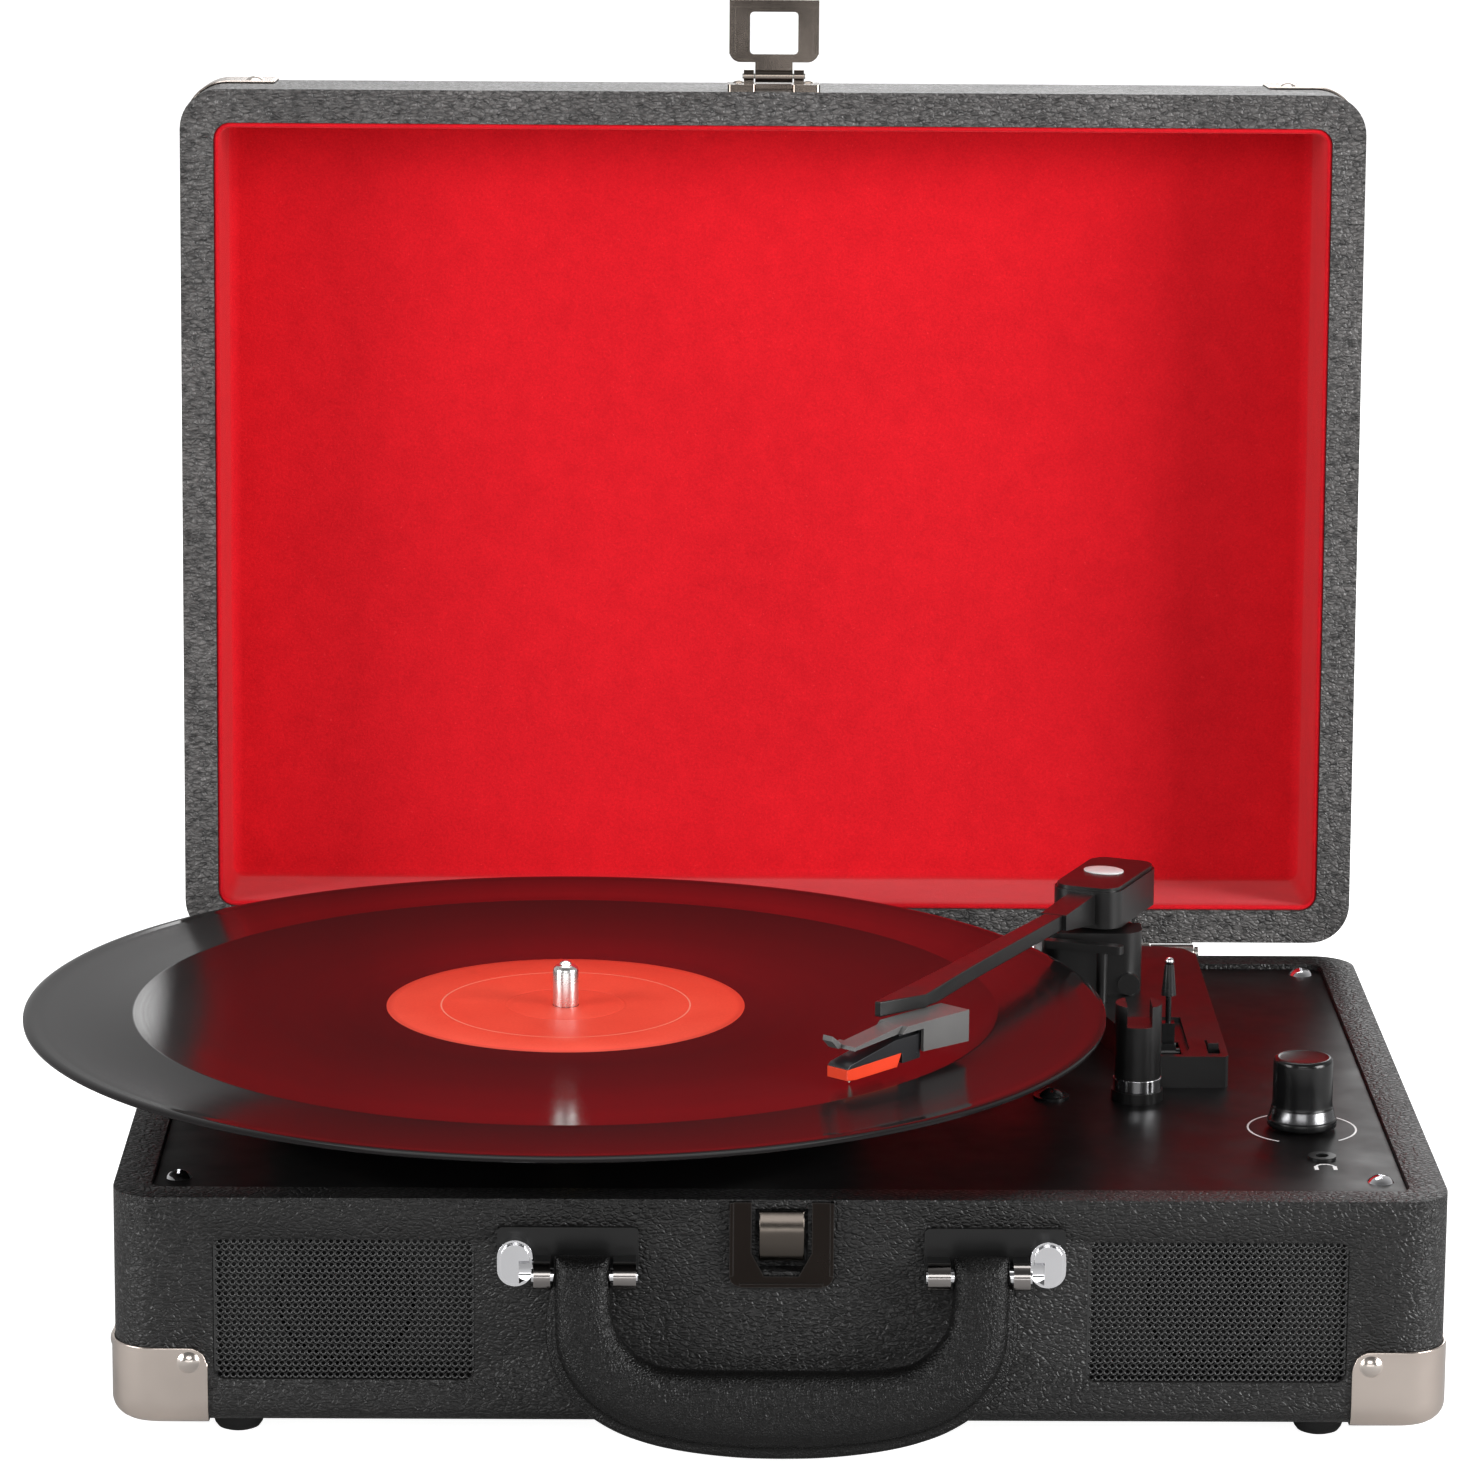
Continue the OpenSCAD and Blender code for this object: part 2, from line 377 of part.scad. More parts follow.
module tonearm_beam() { color([0.05, 0.05, 0.055]) A() intersection() {
  rotate([90, 0, 0]) translate([0, 0, -8]) linear_extrude(16) polygon([[44, 100.9], [60, 101.6], [150, 105.6], [158, 106.6], [176, 106.6], [176, 110.9], [170, 110.7], [44, 105.3]]);
  translate([0, 0, 90]) linear_extrude(30) polygon([[44, -2.7], [120, -3.3], [156, -4.2], [174.5, -4.8], [174.5, -3.2], [160, 4.6], [120, 3.3], [44, 2.7]]);
} }
module headshell() { color([0.33, 0.33, 0.34]) H() {
  difference() {
    rotate([90, 0, 0]) translate([0, 0, -5]) linear_extrude(10) polygon([[24.6, 98.4], [43.4, 97.6], [43.4, 106.4], [26, 106.6], [18, 106.6], [16, 104.8], [24.6, 104.8]]);
    cbox(24, 42.2, -4, 4, 90, 105.2);
  }
  rotate([90, 0, 0]) translate([0, 0, -3.2]) linear_extrude(6.4) polygon([[-1.4, 103.2], [-1.2, 104.2], [17.4, 106.6], [25, 106.6], [25, 105], [17, 104.6]]);
  translate([-2.5, 5.2, 0]) rotate([90, 0, 0]) translate([0, 0, 0]) linear_extrude(3.4) polygon([[0, 103.2], [-2.4, 105.6], [-2.2, 107], [1.6, 104.2], [4.5, 104.3], [4.5, 103.2]]);
} }
module cartridge() { color([0.12, 0.12, 0.13]) H() {
  rotate([90, 0, 0]) translate([0, 0, -3.6]) linear_extrude(7.2) polygon([[-4.6, 99], [-3.6, 99.8], [15, 103.2], [20, 103.2], [24.8, 103.2], [24.8, 96.4], [17.6, 96.2], [17.4, 99.2], [-4.6, 98.7]]);
  cbox(24.8, 40, -3.2, 3.2, 98.4, 105.2);
  cbox(18.4, 23.8, -1.6, 1.6, 103.2, 104.6);
} }
module stylus_holder() { color([0.95, 0.28, 0.18]) H() difference() {
  rotate([90, 0, 0]) translate([0, 0, -3.6]) linear_extrude(7.2) polygon([[-4.8, 98.7], [17.4, 99.2], [15.6, 95.5], [-1.2, 95.3], [-4.8, 95.7]]);
  cbox(-3.2, 3, -1.8, 1.8, 94, 97);
} }
module stylus_tip() { color([0.9, 0.88, 0.82]) H() {
  translate([0, 0, lp_z + 0.12]) cylinder(r1 = 0.15, r2 = 0.75, h = 1.3);
  translate([0, 0, lp_z + 1.4]) cylinder(r = 0.75, h = 0.9);
  cbox(-0.5, 3, -0.5, 0.5, lp_z + 1.5, lp_z + 2.3);
} }
module arm_rest() { color([0.07, 0.07, 0.075]) F() translate([101.4, 104.4, 0]) difference() {
  union() { translate([0, 0, zd]) cylinder(r = 7.3, h = 3); translate([0, 0, zd + 6.6]) cylinder(r = 6.5, h = 21.2); translate([0, 0, zd + 3]) cylinder(r = 5, h = 4); }
  cbox(-3.5, 3.5, -10, 10, zd + 22, 120);
} }
module arm_rest_collar() { color([0.75, 0.75, 0.76]) F() translate([101.4, 104.4, zd + 3]) difference() { cylinder(r = 6.8, h = 3.6); translate([0, 0, -1]) cylinder(r = 5.02, h = 6); } }
module cue_lever() { color([0.05, 0.05, 0.05]) F() translate([111.6, 127, 74]) {
  xcyl(3.4, -2.2, 2.2); xcyl(1.4, -3.4, 3.4);
  cbox(-1.8, 1.8, -1.8, 1.8, 0, 9);
  translate([0, 0, 8]) cylinder(r = 0.8, h = 10);
  translate([0, 0, 17]) cylinder(r1 = 2.1, r2 = 1.3, h = 9);
  translate([0, 0, 26.8]) sphere(1.25);
} }
module cue_platform() { color([0.08, 0.08, 0.08]) F() {
  translate([96, 174.7, 70]) cylinder(r = 1.6, h = 21.8);
  translate([90.6, 176.6, 91]) rotate([0, 0, -20]) rbox(24, 3.6, 2.4, 1.7);
} }
module speed_switch() { color([0.03, 0.03, 0.03]) F() translate([124.3, 126, 0]) { cbox(-1.5, 1.5, -2, 2, 70, zp + 1.6); cbox(-2.6, 1.6, -3, 3, 69, 71); } }

// ---------- controls and electrics ----------
module volume_knob() { color([0.06, 0.06, 0.065]) F() translate([144.9, 75.5, 0]) difference() {
  rotate_extrude() polygon([[0, zd + 1], [9.4, zd + 1], [9.6, zd + 1.3], [9.6, zd + 3.2], [8.5, zd + 6.6], [8.3, zd + 7.2], [8.3, zd + 19.6], [7.4, zd + 20.4], [0, zd + 20.4]]);
  translate([0, 0, zd]) cylinder(r = 3.05, h = 13);
} }
module potentiometer() { color([0.6, 0.6, 0.6]) F() translate([144.9, 75.5, 0]) { translate([0, 0, 52]) cylinder(r = 8, h = zd - deck_t - 52); translate([0, 0, 52]) cylinder(r = 3, h = zd - 52 + 12.6); cbox(-8, 8, -12, 0, 54, 56); } }
module headphone_jack() { color([0.1, 0.1, 0.1]) F() translate([147.5, 46, 0]) difference() {
  union() { translate([0, 0, zd]) cylinder(r = 3.85, h = 0.8); translate([0, 0, 50]) cylinder(r = 3, h = zd - 50 + 0.5); cbox(-5, 5, -5, 5, 49.9, zd - deck_t); }
  translate([0, 0, 51.9]) cylinder(r = 1.8, h = 30);
} }
module main_board() { color([0.1, 0.35, 0.15]) F() { cbox(40, 120, 175, 235, 20, 21.6); for (x = [46, 114], y = [181, 229]) translate([x, y, 10]) cylinder(r = 3, h = 10);
  cbox(60, 84, 190, 214, 21.6, 29); for (i = [0:3]) translate([92 + i*6.5, 200, 21.6]) cylinder(r = 2.6, h = 9); } }
module rear_jack_panel() { color([0.06, 0.06, 0.06]) F() difference() {
  union() { cbox(-62, -2, case_d - 9, case_d, 22, 46); cbox(-65, 1, case_d, case_d + 1.2, 19, 49); }
  for (x = [-48, -32]) translate([x, 0, 34]) ycyl(4.2, case_d - 20, case_d + 5);
  translate([-14, 0, 34]) ycyl(4.6, case_d - 20, case_d + 5);
} }
module rca_jacks() { color([0.8, 0.7, 0.4]) F() for (x = [-48, -32]) translate([x, 0, 34]) difference() { union() { ycyl(4.15, case_d - 12, case_d + 9); ycyl(5.4, case_d + 1.2, case_d + 2.4); } ycyl(2.6, case_d, case_d + 12); } }
module dc_inlet() { color([0.08, 0.08, 0.08]) F() translate([-14, 0, 34]) { difference() { ycyl(4.5, case_d - 14, case_d + 2); ycyl(3, case_d - 8, case_d + 4); } ycyl(1.05, case_d - 9, case_d + 0.8); } }

base_case();
bottom_panel();
rubber_feet();
deck_plate();
deck_screws();
base_corner_guards();
base_corner_rivets();
speaker_grilles();
speaker_frames();
speaker_cones();
latch_strike_plate();
latch_hook();
handle_mounts();
handle_end_caps();
handle_pins();
hinge_base_leaves();
hinge_pins();
hinge_base_screws();
bearing_housing();
motor();
drive_belt();
transit_screw();
tonearm_base_plate();
tonearm_pedestal();
arm_rest();
arm_rest_collar();
potentiometer();
headphone_jack();
main_board();
rear_jack_panel();
rca_jacks();
dc_inlet();
lid_shell();
lid_lining();
lid_corner_guards();
lid_corner_rivets();
hinge_lid_leaves();
hinge_lid_screws();
hasp_mount_plate();
hasp_pin();
hasp_loop();
handle_grip();
platter();
slip_mat();
spindle();
vinyl_record();
record_label();
motor_pulley();
tonearm_turret();
tonearm_pivot_pin();
tonearm_head();
tonearm_beam();
headshell();
cartridge();
stylus_holder();
stylus_tip();
cue_lever();
cue_platform();
volume_knob();
speed_switch();
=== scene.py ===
"""Looks of the suitcase record player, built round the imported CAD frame."""
import math
import random

import bmesh
import bpy
from mathutils import Matrix, Vector, noise

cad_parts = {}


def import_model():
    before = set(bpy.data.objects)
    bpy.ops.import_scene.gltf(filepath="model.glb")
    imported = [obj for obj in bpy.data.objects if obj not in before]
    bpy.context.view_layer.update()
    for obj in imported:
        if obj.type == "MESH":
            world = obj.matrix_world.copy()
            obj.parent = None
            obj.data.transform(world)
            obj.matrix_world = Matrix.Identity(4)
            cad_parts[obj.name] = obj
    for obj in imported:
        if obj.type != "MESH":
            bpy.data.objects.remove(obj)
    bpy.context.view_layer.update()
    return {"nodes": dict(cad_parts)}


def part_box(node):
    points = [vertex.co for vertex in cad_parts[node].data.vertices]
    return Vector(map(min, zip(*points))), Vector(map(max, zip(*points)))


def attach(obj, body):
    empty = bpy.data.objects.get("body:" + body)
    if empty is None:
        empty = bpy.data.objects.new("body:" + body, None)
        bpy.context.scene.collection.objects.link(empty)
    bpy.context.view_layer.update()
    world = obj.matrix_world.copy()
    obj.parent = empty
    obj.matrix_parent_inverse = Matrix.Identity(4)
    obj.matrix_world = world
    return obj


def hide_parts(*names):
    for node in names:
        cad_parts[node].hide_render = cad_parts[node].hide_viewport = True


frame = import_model()
nodes = frame["nodes"]
random.seed(7)

MM = 0.001
OX, OY = -15.05, 141.7


def P(x, y, z):
    """A point given from the case centre, the front face and the table, in mm, in the row frame in metres."""
    return Vector(((x - OX) * MM, (y - OY) * MM, z * MM))


# ---------------------------------------------------------------- camera
def aim(location, yaw, pitch, roll, lens):
    y, p, r = map(math.radians, (yaw, pitch, roll))
    fwd = Vector((math.sin(y) * math.cos(p), math.cos(y) * math.cos(p), -math.sin(p)))
    right = Vector((math.cos(y), -math.sin(y), 0))
    up = right.cross(fwd)
    r2 = right * math.cos(r) + up * math.sin(r)
    u2 = -right * math.sin(r) + up * math.cos(r)
    m = Matrix((r2, u2, -fwd)).transposed().to_4x4()
    m.translation = location
    data = bpy.data.cameras.new("camera")
    data.lens = lens
    data.sensor_width = 36
    data.clip_end = 50
    cam = bpy.data.objects.new("camera", data)
    bpy.context.scene.collection.objects.link(cam)
    cam.matrix_world = m
    bpy.context.scene.camera = cam
    return cam


aim(P(-30.494, -1569.427, 544.04), 0.652, 12.591, 0.421, 6192.98 * 36 / 1475)


# ---------------------------------------------------------------- material kit
class Mat:
    """A Principled material and short calls to build its nodes."""

    def __init__(self, name, color=(0.5, 0.5, 0.5), rough=0.5, **sockets):
        self.m = bpy.data.materials.new(name)
        self.m.use_nodes = True
        self.t = self.m.node_tree
        self.t.nodes.clear()
        self.out = self.t.nodes.new("ShaderNodeOutputMaterial")
        self.b = self.t.nodes.new("ShaderNodeBsdfPrincipled")
        self.t.links.new(self.b.outputs[0], self.out.inputs[0])
        self.b.inputs["Base Color"].default_value = (*color, 1)
        self.b.inputs["Roughness"].default_value = rough
        for k, v in sockets.items():
            self.b.inputs[k.replace("_", " ")].default_value = v
        tc = self.t.nodes.new("ShaderNodeTexCoord")
        self.obj = tc.outputs["Object"]
        self.height = None
        self.normal = None

    def put(self, target, socket, value):
        if isinstance(value, bpy.types.NodeSocket):
            self.t.links.new(value, target.inputs[socket])
        elif value is not None:
            target.inputs[socket].default_value = value

    def noise(self, scale, detail=2, rough=0.5, vec=None, distort=0):
        n = self.t.nodes.new("ShaderNodeTexNoise")
        self.put(n, "Vector", vec or self.obj)
        self.put(n, "Scale", scale)
        self.put(n, "Detail", detail)
        self.put(n, "Roughness", rough)
        self.put(n, "Distortion", distort)
        return n.outputs["Fac"]

    def noise_color(self, scale, detail=2):
        n = self.t.nodes.new("ShaderNodeTexNoise")
        self.put(n, "Vector", self.obj)
        self.put(n, "Scale", scale)
        self.put(n, "Detail", detail)
        return n.outputs["Color"]

    def voronoi(self, scale, feature="DISTANCE_TO_EDGE", vec=None, rand=1.0):
        n = self.t.nodes.new("ShaderNodeTexVoronoi")
        n.feature = feature
        self.put(n, "Vector", vec or self.obj)
        self.put(n, "Scale", scale)
        self.put(n, "Randomness", rand)
        return n.outputs["Distance"]

    def math(self, op, a, b=None, c=None, clamp=False):
        n = self.t.nodes.new("ShaderNodeMath")
        n.operation = op
        n.use_clamp = clamp
        self.put(n, 0, a)
        self.put(n, 1, b)
        self.put(n, 2, c)
        return n.outputs[0]

    def vmath(self, op, a, b=None, scale=None):
        n = self.t.nodes.new("ShaderNodeVectorMath")
        n.operation = op
        self.put(n, 0, a)
        self.put(n, 1, b)
        if scale is not None:
            self.put(n, "Scale", scale)
        return n.outputs["Value"] if op in ("LENGTH", "DISTANCE", "DOT_PRODUCT") else n.outputs["Vector"]

    def remap(self, v, a, b, c, d, clamp=True, smooth=False):
        n = self.t.nodes.new("ShaderNodeMapRange")
        n.clamp = clamp
        if smooth:
            n.interpolation_type = "SMOOTHSTEP"
        self.put(n, 0, v)
        for i, x in enumerate((a, b, c, d)):
            self.put(n, i + 1, x)
        return n.outputs[0]

    def mix(self, f, a, b):
        n = self.t.nodes.new("ShaderNodeMix")
        n.data_type = "RGBA"
        self.put(n, 0, f)
        self.put(n, 6, (*a, 1) if isinstance(a, tuple) and len(a) == 3 else a)
        self.put(n, 7, (*b, 1) if isinstance(b, tuple) and len(b) == 3 else b)
        return n.outputs[2]

    def warp(self, scale, amount, vec=None):
        """Object coordinates shaken by noise."""
        c = self.vmath("SUBTRACT", self.noise_color(scale), (0.5, 0.5, 0.5))
        return self.vmath("ADD", vec or self.obj, self.vmath("SCALE", c, scale=amount))

    def stretch(self, v):
        return self.vmath("MULTIPLY", self.obj, v)

    def radius(self, centre):
        """Distance from an upright axis through centre."""
        d = self.vmath("SUBTRACT", self.obj, tuple(centre))
        return self.vmath("LENGTH", self.vmath("MULTIPLY", d, (1, 1, 0)))

    def geometry(self, name):
        for n in self.t.nodes:
            if n.bl_idname == "ShaderNodeNewGeometry":
                return n.outputs[name]
        return self.t.nodes.new("ShaderNodeNewGeometry").outputs[name]

    def scuff_and_highlight_mask(self, radius=0.0006, samples=4):
        """1 on convex edges, 0 elsewhere."""
        n = self.t.nodes.new("ShaderNodeBevel")
        n.samples = samples
        n.inputs["Radius"].default_value = radius
        d = self.vmath("DOT_PRODUCT", n.outputs[0], self.geometry("Normal"))
        return self.remap(d, 0.97, 0.75, 0, 1)

    def color(self, v):
        self.put(self.b, "Base Color", v)
        return self

    def rough(self, v):
        self.put(self.b, "Roughness", v)
        return self

    def bump(self, height, strength=0.5, distance=0.0003):
        n = self.t.nodes.new("ShaderNodeBump")
        self.put(n, "Height", height)
        n.inputs["Strength"].default_value = strength
        n.inputs["Distance"].default_value = distance
        if self.normal is not None:
            self.t.links.new(self.normal, n.inputs["Normal"])
        self.normal = n.outputs[0]
        self.t.links.new(self.normal, self.b.inputs["Normal"])
        return self


def leather(name, dark=(0.0045, 0.0043, 0.0043), light=(0.0165, 0.0158, 0.0155), size=1.0, strength=1.0, rough=(0.30, 0.50), along=(0.58, 0.85, 1.0), spec=0.5):
    """Grained leathercloth: long soft pebbles between creases, finer pores, a few deeper folds."""
    m = Mat(name, rough=0.45, Specular_IOR_Level=spec)
    long = m.stretch(along)
    w = m.warp(260 / size, 0.0016 * size, vec=long)
    cells = m.voronoi(690 / size, vec=w)
    big = m.voronoi(250 / size, vec=m.warp(150 / size, 0.003 * size, vec=long))
    dome = m.remap(cells, 0.0, 0.30, 0, 1, smooth=True)
    crease = m.remap(big, 0.0, 0.09, 0, 1, smooth=True)
    soft = m.noise(520 / size, 3, 0.6, vec=long)
    pores = m.noise(4200 / size, 2)
    h = m.math("ADD", m.math("MULTIPLY", dome, 0.55), m.math("MULTIPLY", crease, 0.35))
    h = m.math("ADD", h, m.math("MULTIPLY", soft, 0.75))
    h = m.math("ADD", h, m.math("MULTIPLY", pores, 0.10))
    cloud = m.noise(38, 3)
    # The colour follows the pebbles: their tops are painted lighter and the creases between them darker, a painted
    # highlight and painted shade on the grain, mixed with random tone from the soft noise and the clouds.
    tone_and_grain_light = m.math("MULTIPLY", m.math("ADD", m.math("MULTIPLY", dome, 0.8), m.remap(soft, 0.35, 0.68, 0, 1.2)), m.remap(cloud, 0.3, 0.7, 0.34, 0.56))
    m.color(m.mix(tone_and_grain_light, dark, light))
    m.rough(m.remap(m.math("ADD", m.math("MULTIPLY", dome, 0.6), m.math("MULTIPLY", cloud, 0.5)), 0.2, 0.95, rough[1], rough[0]))
    m.bump(m.noise(60, 2), 0.25, 0.0006)
    m.bump(h, strength, 0.00075 * size)
    return m


def metal(name, color, rough=0.2, spread=0.10, smear=0.0, grain=0.15, tint=0.9):
    """Plated metal: cloudy polish, fine scratches, and the edges painted brighter, partly as scuffing and partly as a
    painted highlight.
    """
    m = Mat(name, color, rough, Metallic=1.0)
    cloud = m.noise(55, 3)
    fine = m.noise(900, 3, vec=m.stretch((1, 1, 0.12)) if smear else None)
    m.rough(m.math("ADD", m.remap(cloud, 0.3, 0.7, rough - spread / 2, rough + spread / 2), m.math("MULTIPLY", fine, grain * 0.3)))
    scuffed_and_highlight = tuple(min(1, c * 1.15 + 0.05) for c in color)
    base = m.mix(m.remap(cloud, 0.3, 0.75, 0, 1), tuple(c * tint for c in color), color)
    # Convex edges are painted brighter: part scuffing, part painted highlight where the edges catch the light.
    m.color(m.mix(m.scuff_and_highlight_mask(0.0005), base, scuffed_and_highlight))
    m.bump(fine, 0.06 + grain * 0.3, 0.00003)
    return m


def plastic(name, color, rough=0.2, texture=0.0, scale=1800, spec=0.5, cloudy=0.1, coat=0.0, edge=0.35):
    """Moulded plastic: faint flow clouds, optional spark-eroded texture, and the edges painted a little brighter,
    partly as scuffing and partly as a painted highlight.
    """
    m = Mat(name, color, rough, Specular_IOR_Level=spec, Coat_Weight=coat, Coat_Roughness=0.05)
    cloud = m.noise(70, 3)
    m.rough(m.remap(cloud, 0.3, 0.7, rough * (1 - cloudy), rough * (1 + cloudy) + 0.01))
    rubbed_and_highlight = tuple(min(1, c * 1.6 + 0.012) for c in color)
    base = m.mix(m.remap(cloud, 0.3, 0.7, 0, 1), tuple(c * 0.85 for c in color), color)
    # Convex edges are painted brighter by the edge factor: part scuffing, part painted highlight.
    m.color(m.mix(m.math("MULTIPLY", m.scuff_and_highlight_mask(0.0004), edge), base, rubbed_and_highlight))
    if texture:
        m.bump(m.noise(scale, 3, 0.6), texture, 0.00006)
    else:
        m.bump(m.noise(160, 2), 0.03, 0.0002)
    return m


def felt(name):
    """Short-napped felt: crimson with cloudy pile, lint and a soft sheen."""
    m = Mat(name, rough=0.95, Specular_IOR_Level=0.12, Sheen_Weight=0.30, Sheen_Roughness=0.45)
    m.b.inputs["Sheen Tint"].default_value = (1.0, 0.32, 0.34, 1)
    big = m.noise(16, 4, 0.6)
    mid = m.noise(120, 4, 0.65, vec=m.warp(60, 0.004))
    fibre = m.noise(1500, 5, 0.75, vec=m.warp(700, 0.0016))
    fleck = m.noise(1100, 2, 0.5)
    v = m.math("ADD", m.math("MULTIPLY", big, 0.18), m.math("MULTIPLY", mid, 0.22))
    v = m.math("ADD", v, m.math("MULTIPLY", fibre, 0.66))
    c = m.mix(m.remap(v, 0.36, 0.72, 0, 1), (0.47, 0.0042, 0.0105), (0.735, 0.0105, 0.019))
    c = m.mix(m.remap(fleck, 0.68, 0.80, 0, 0.35), c, (0.86, 0.06, 0.07))
    m.color(c)
    m.bump(m.math("ADD", m.math("MULTIPLY", fibre, 1.0), m.math("MULTIPLY", mid, 0.5)), 0.55, 0.00035)
    return m


def sheet_paper(name, color, rough=0.5):
    m = Mat(name, color, rough, Specular_IOR_Level=0.35)
    f = m.noise(1500, 4, 0.7)
    m.color(m.mix(m.remap(f, 0.3, 0.7, 0, 1), tuple(c * 0.88 for c in color), color))
    m.bump(f, 0.15, 0.00005)
    return m


# The base and the lid are one leathercloth in two copies. The lid's copy is painted far lighter, as painted light for
# the light falling on the lid, and the base's copy is painted darker, as painted shade on the base.
LEATHER = leather("leathercloth", size=0.78, strength=0.62, spec=0.40)
LEATHER_LID_LIT = leather("leathercloth_lid_painted_lit", dark=(0.008, 0.0076, 0.0076), light=(0.165, 0.157, 0.154), size=0.78, strength=0.7)
GRIP = leather("handle_leather", dark=(0.0028, 0.0027, 0.0027), light=(0.0052, 0.0049, 0.0048), size=0.5, strength=0.5, rough=(0.22, 0.36), along=(0.9, 0.9, 0.9), spec=0.26)
FELT = felt("felt_crimson")
DECK = plastic("deck_gloss", (0.0060, 0.0054, 0.0056), 0.36, texture=0.12, spec=0.13, cloudy=0.15)
ARM = plastic("arm_plastic", (0.0075, 0.0070, 0.0070), 0.32, texture=0.08, spec=0.5)
KNOB = plastic("knob_plastic", (0.006, 0.006, 0.0062), 0.24, spec=0.35, cloudy=0.2)
SHELL = plastic("headshell_plastic", (0.125, 0.122, 0.12), 0.32, texture=0.2, spec=0.5)
CART = plastic("cartridge_plastic", (0.016, 0.016, 0.018), 0.3, texture=0.15, spec=0.5)
ORANGE = plastic("stylus_orange", (0.82, 0.055, 0.016), 0.3, spec=0.5)
TIP = plastic("stylus_white", (0.8, 0.74, 0.62), 0.25)
NICKEL = metal("nickel_guard", (0.70, 0.61, 0.55), 0.20, 0.08)
STRIKE = metal("nickel_strike", (0.024, 0.019, 0.0165), 0.22, 0.08)
DARKNI = metal("nickel_dark", (0.26, 0.22, 0.19), 0.13, 0.06)
HOOK = metal("nickel_hook", (0.105, 0.090, 0.078), 0.16, 0.08)
RIVET = metal("rivet_nickel", (0.70, 0.63, 0.58), 0.2, 0.08)
CHROME = metal("chrome", (0.80, 0.80, 0.82), 0.07, 0.05, grain=0.05)
CHROME_DARK = metal("chrome_smoked", (0.30, 0.28, 0.27), 0.14, 0.06, grain=0.05)
SATIN = metal("satin_nickel", (0.86, 0.84, 0.82), 0.24, 0.08, grain=0.2)
BAND = metal("knob_band", (0.16, 0.16, 0.165), 0.22, 0.06, grain=0.05)
STEEL = metal("hinge_steel", (0.50, 0.48, 0.45), 0.28, 0.1, grain=0.4)
BRASS = metal("brass_turned", (0.72, 0.50, 0.18), 0.25, 0.1, smear=1)
MOTOR = metal("motor_can", (0.42, 0.42, 0.44), 0.35, 0.1, grain=0.4)
TURRET = metal("turret_alloy", (0.16, 0.16, 0.165), 0.35, 0.1, grain=0.4)
BLACKMETAL = plastic("black_lacquer", (0.008, 0.008, 0.008), 0.3, texture=0.15, spec=0.35)
# edge=1.0 paints a painted highlight round every hole and along the grille's rim.
GRILLE = plastic("grille_lacquer", (0.010, 0.010, 0.010), 0.24, spec=0.8, edge=1.0)
CONE = sheet_paper("cone_paper", (0.012, 0.012, 0.013), 0.75)
RUBBER = plastic("rubber", (0.011, 0.011, 0.011), 0.6, texture=0.5, scale=1200, spec=0.3)
PLATTER = plastic("platter_lacquer", (0.012, 0.012, 0.012), 0.4, texture=0.3, spec=0.5)
JACK = plastic("jack_plastic", (0.009, 0.009, 0.009), 0.3, texture=0.1)
WHITE = plastic("badge_white", (0.80, 0.80, 0.80), 0.3)
PRINT = plastic("print_white", (0.88, 0.88, 0.88), 0.45)


def hardboard(name):
    m = Mat(name, rough=0.8, Specular_IOR_Level=0.2)
    fibre = m.noise(700, 5, 0.7, vec=m.stretch((1, 0.35, 1)))
    m.color(m.mix(m.remap(fibre, 0.3, 0.7, 0, 1), (0.020, 0.017, 0.015), (0.055, 0.045, 0.036)))
    m.bump(fibre, 0.4, 0.0002)
    return m


def circuit(name):
    m = Mat(name, rough=0.35)
    track = m.voronoi(260, rand=0.35)
    m.color(m.mix(m.remap(track, 0.05, 0.08, 0, 1), (0.02, 0.16, 0.05), (0.008, 0.07, 0.022)))
    m.bump(track, 0.2, 0.0001)
    return m


HARDBOARD, CIRCUIT = hardboard("hardboard"), circuit("circuit_board")

spindle_lo, spindle_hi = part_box("spindle")
AXIS = (spindle_lo + spindle_hi) / 2


def vinyl(name):
    """Pressed record: fine grooves round the axis; tracks differ a little in tone and polish."""
    m = Mat(name, (0.0095, 0.0082, 0.0084), 0.2, Specular_IOR_Level=0.12)
    r = m.radius((0, 0, 0))
    comb = m.t.nodes.new("ShaderNodeCombineXYZ")
    m.t.links.new(r, comb.inputs[0])
    band = m.noise(420, 4, 0.8, vec=comb.outputs[0])
    tracks = m.noise(70, 1, 0.5, vec=comb.outputs[0])
    dust = m.noise(1400, 2, 0.5)
    ro = m.math("ADD", m.remap(band, 0.3, 0.7, 0.13, 0.20), m.remap(tracks, 0.35, 0.65, -0.02, 0.03))
    smooth = m.remap(r, 0.0605, 0.0615, 1, 0)
    rim = m.remap(r, 0.1440, 0.1455, 0, 1)
    ro = m.math("MULTIPLY", ro, m.remap(m.math("MAXIMUM", smooth, rim), 0, 1, 1, 0.55))
    m.rough(ro)
    base = m.mix(m.remap(band, 0.3, 0.7, 0, 1), (0.0080, 0.0070, 0.0072), (0.0120, 0.0105, 0.0108))
    m.color(m.mix(m.remap(dust, 0.70, 0.80, 0, 0.25), base, (0.05, 0.045, 0.045)))
    wave = m.t.nodes.new("ShaderNodeMath")
    wave.operation = "SINE"
    m.t.links.new(m.math("MULTIPLY", r, 2 * math.pi / 0.00042), wave.inputs[0])
    m.bump(m.math("MULTIPLY", wave.outputs[0], m.remap(m.math("MAXIMUM", smooth, rim), 0, 1, 1, 0)), 0.05, 0.00003)
    return m


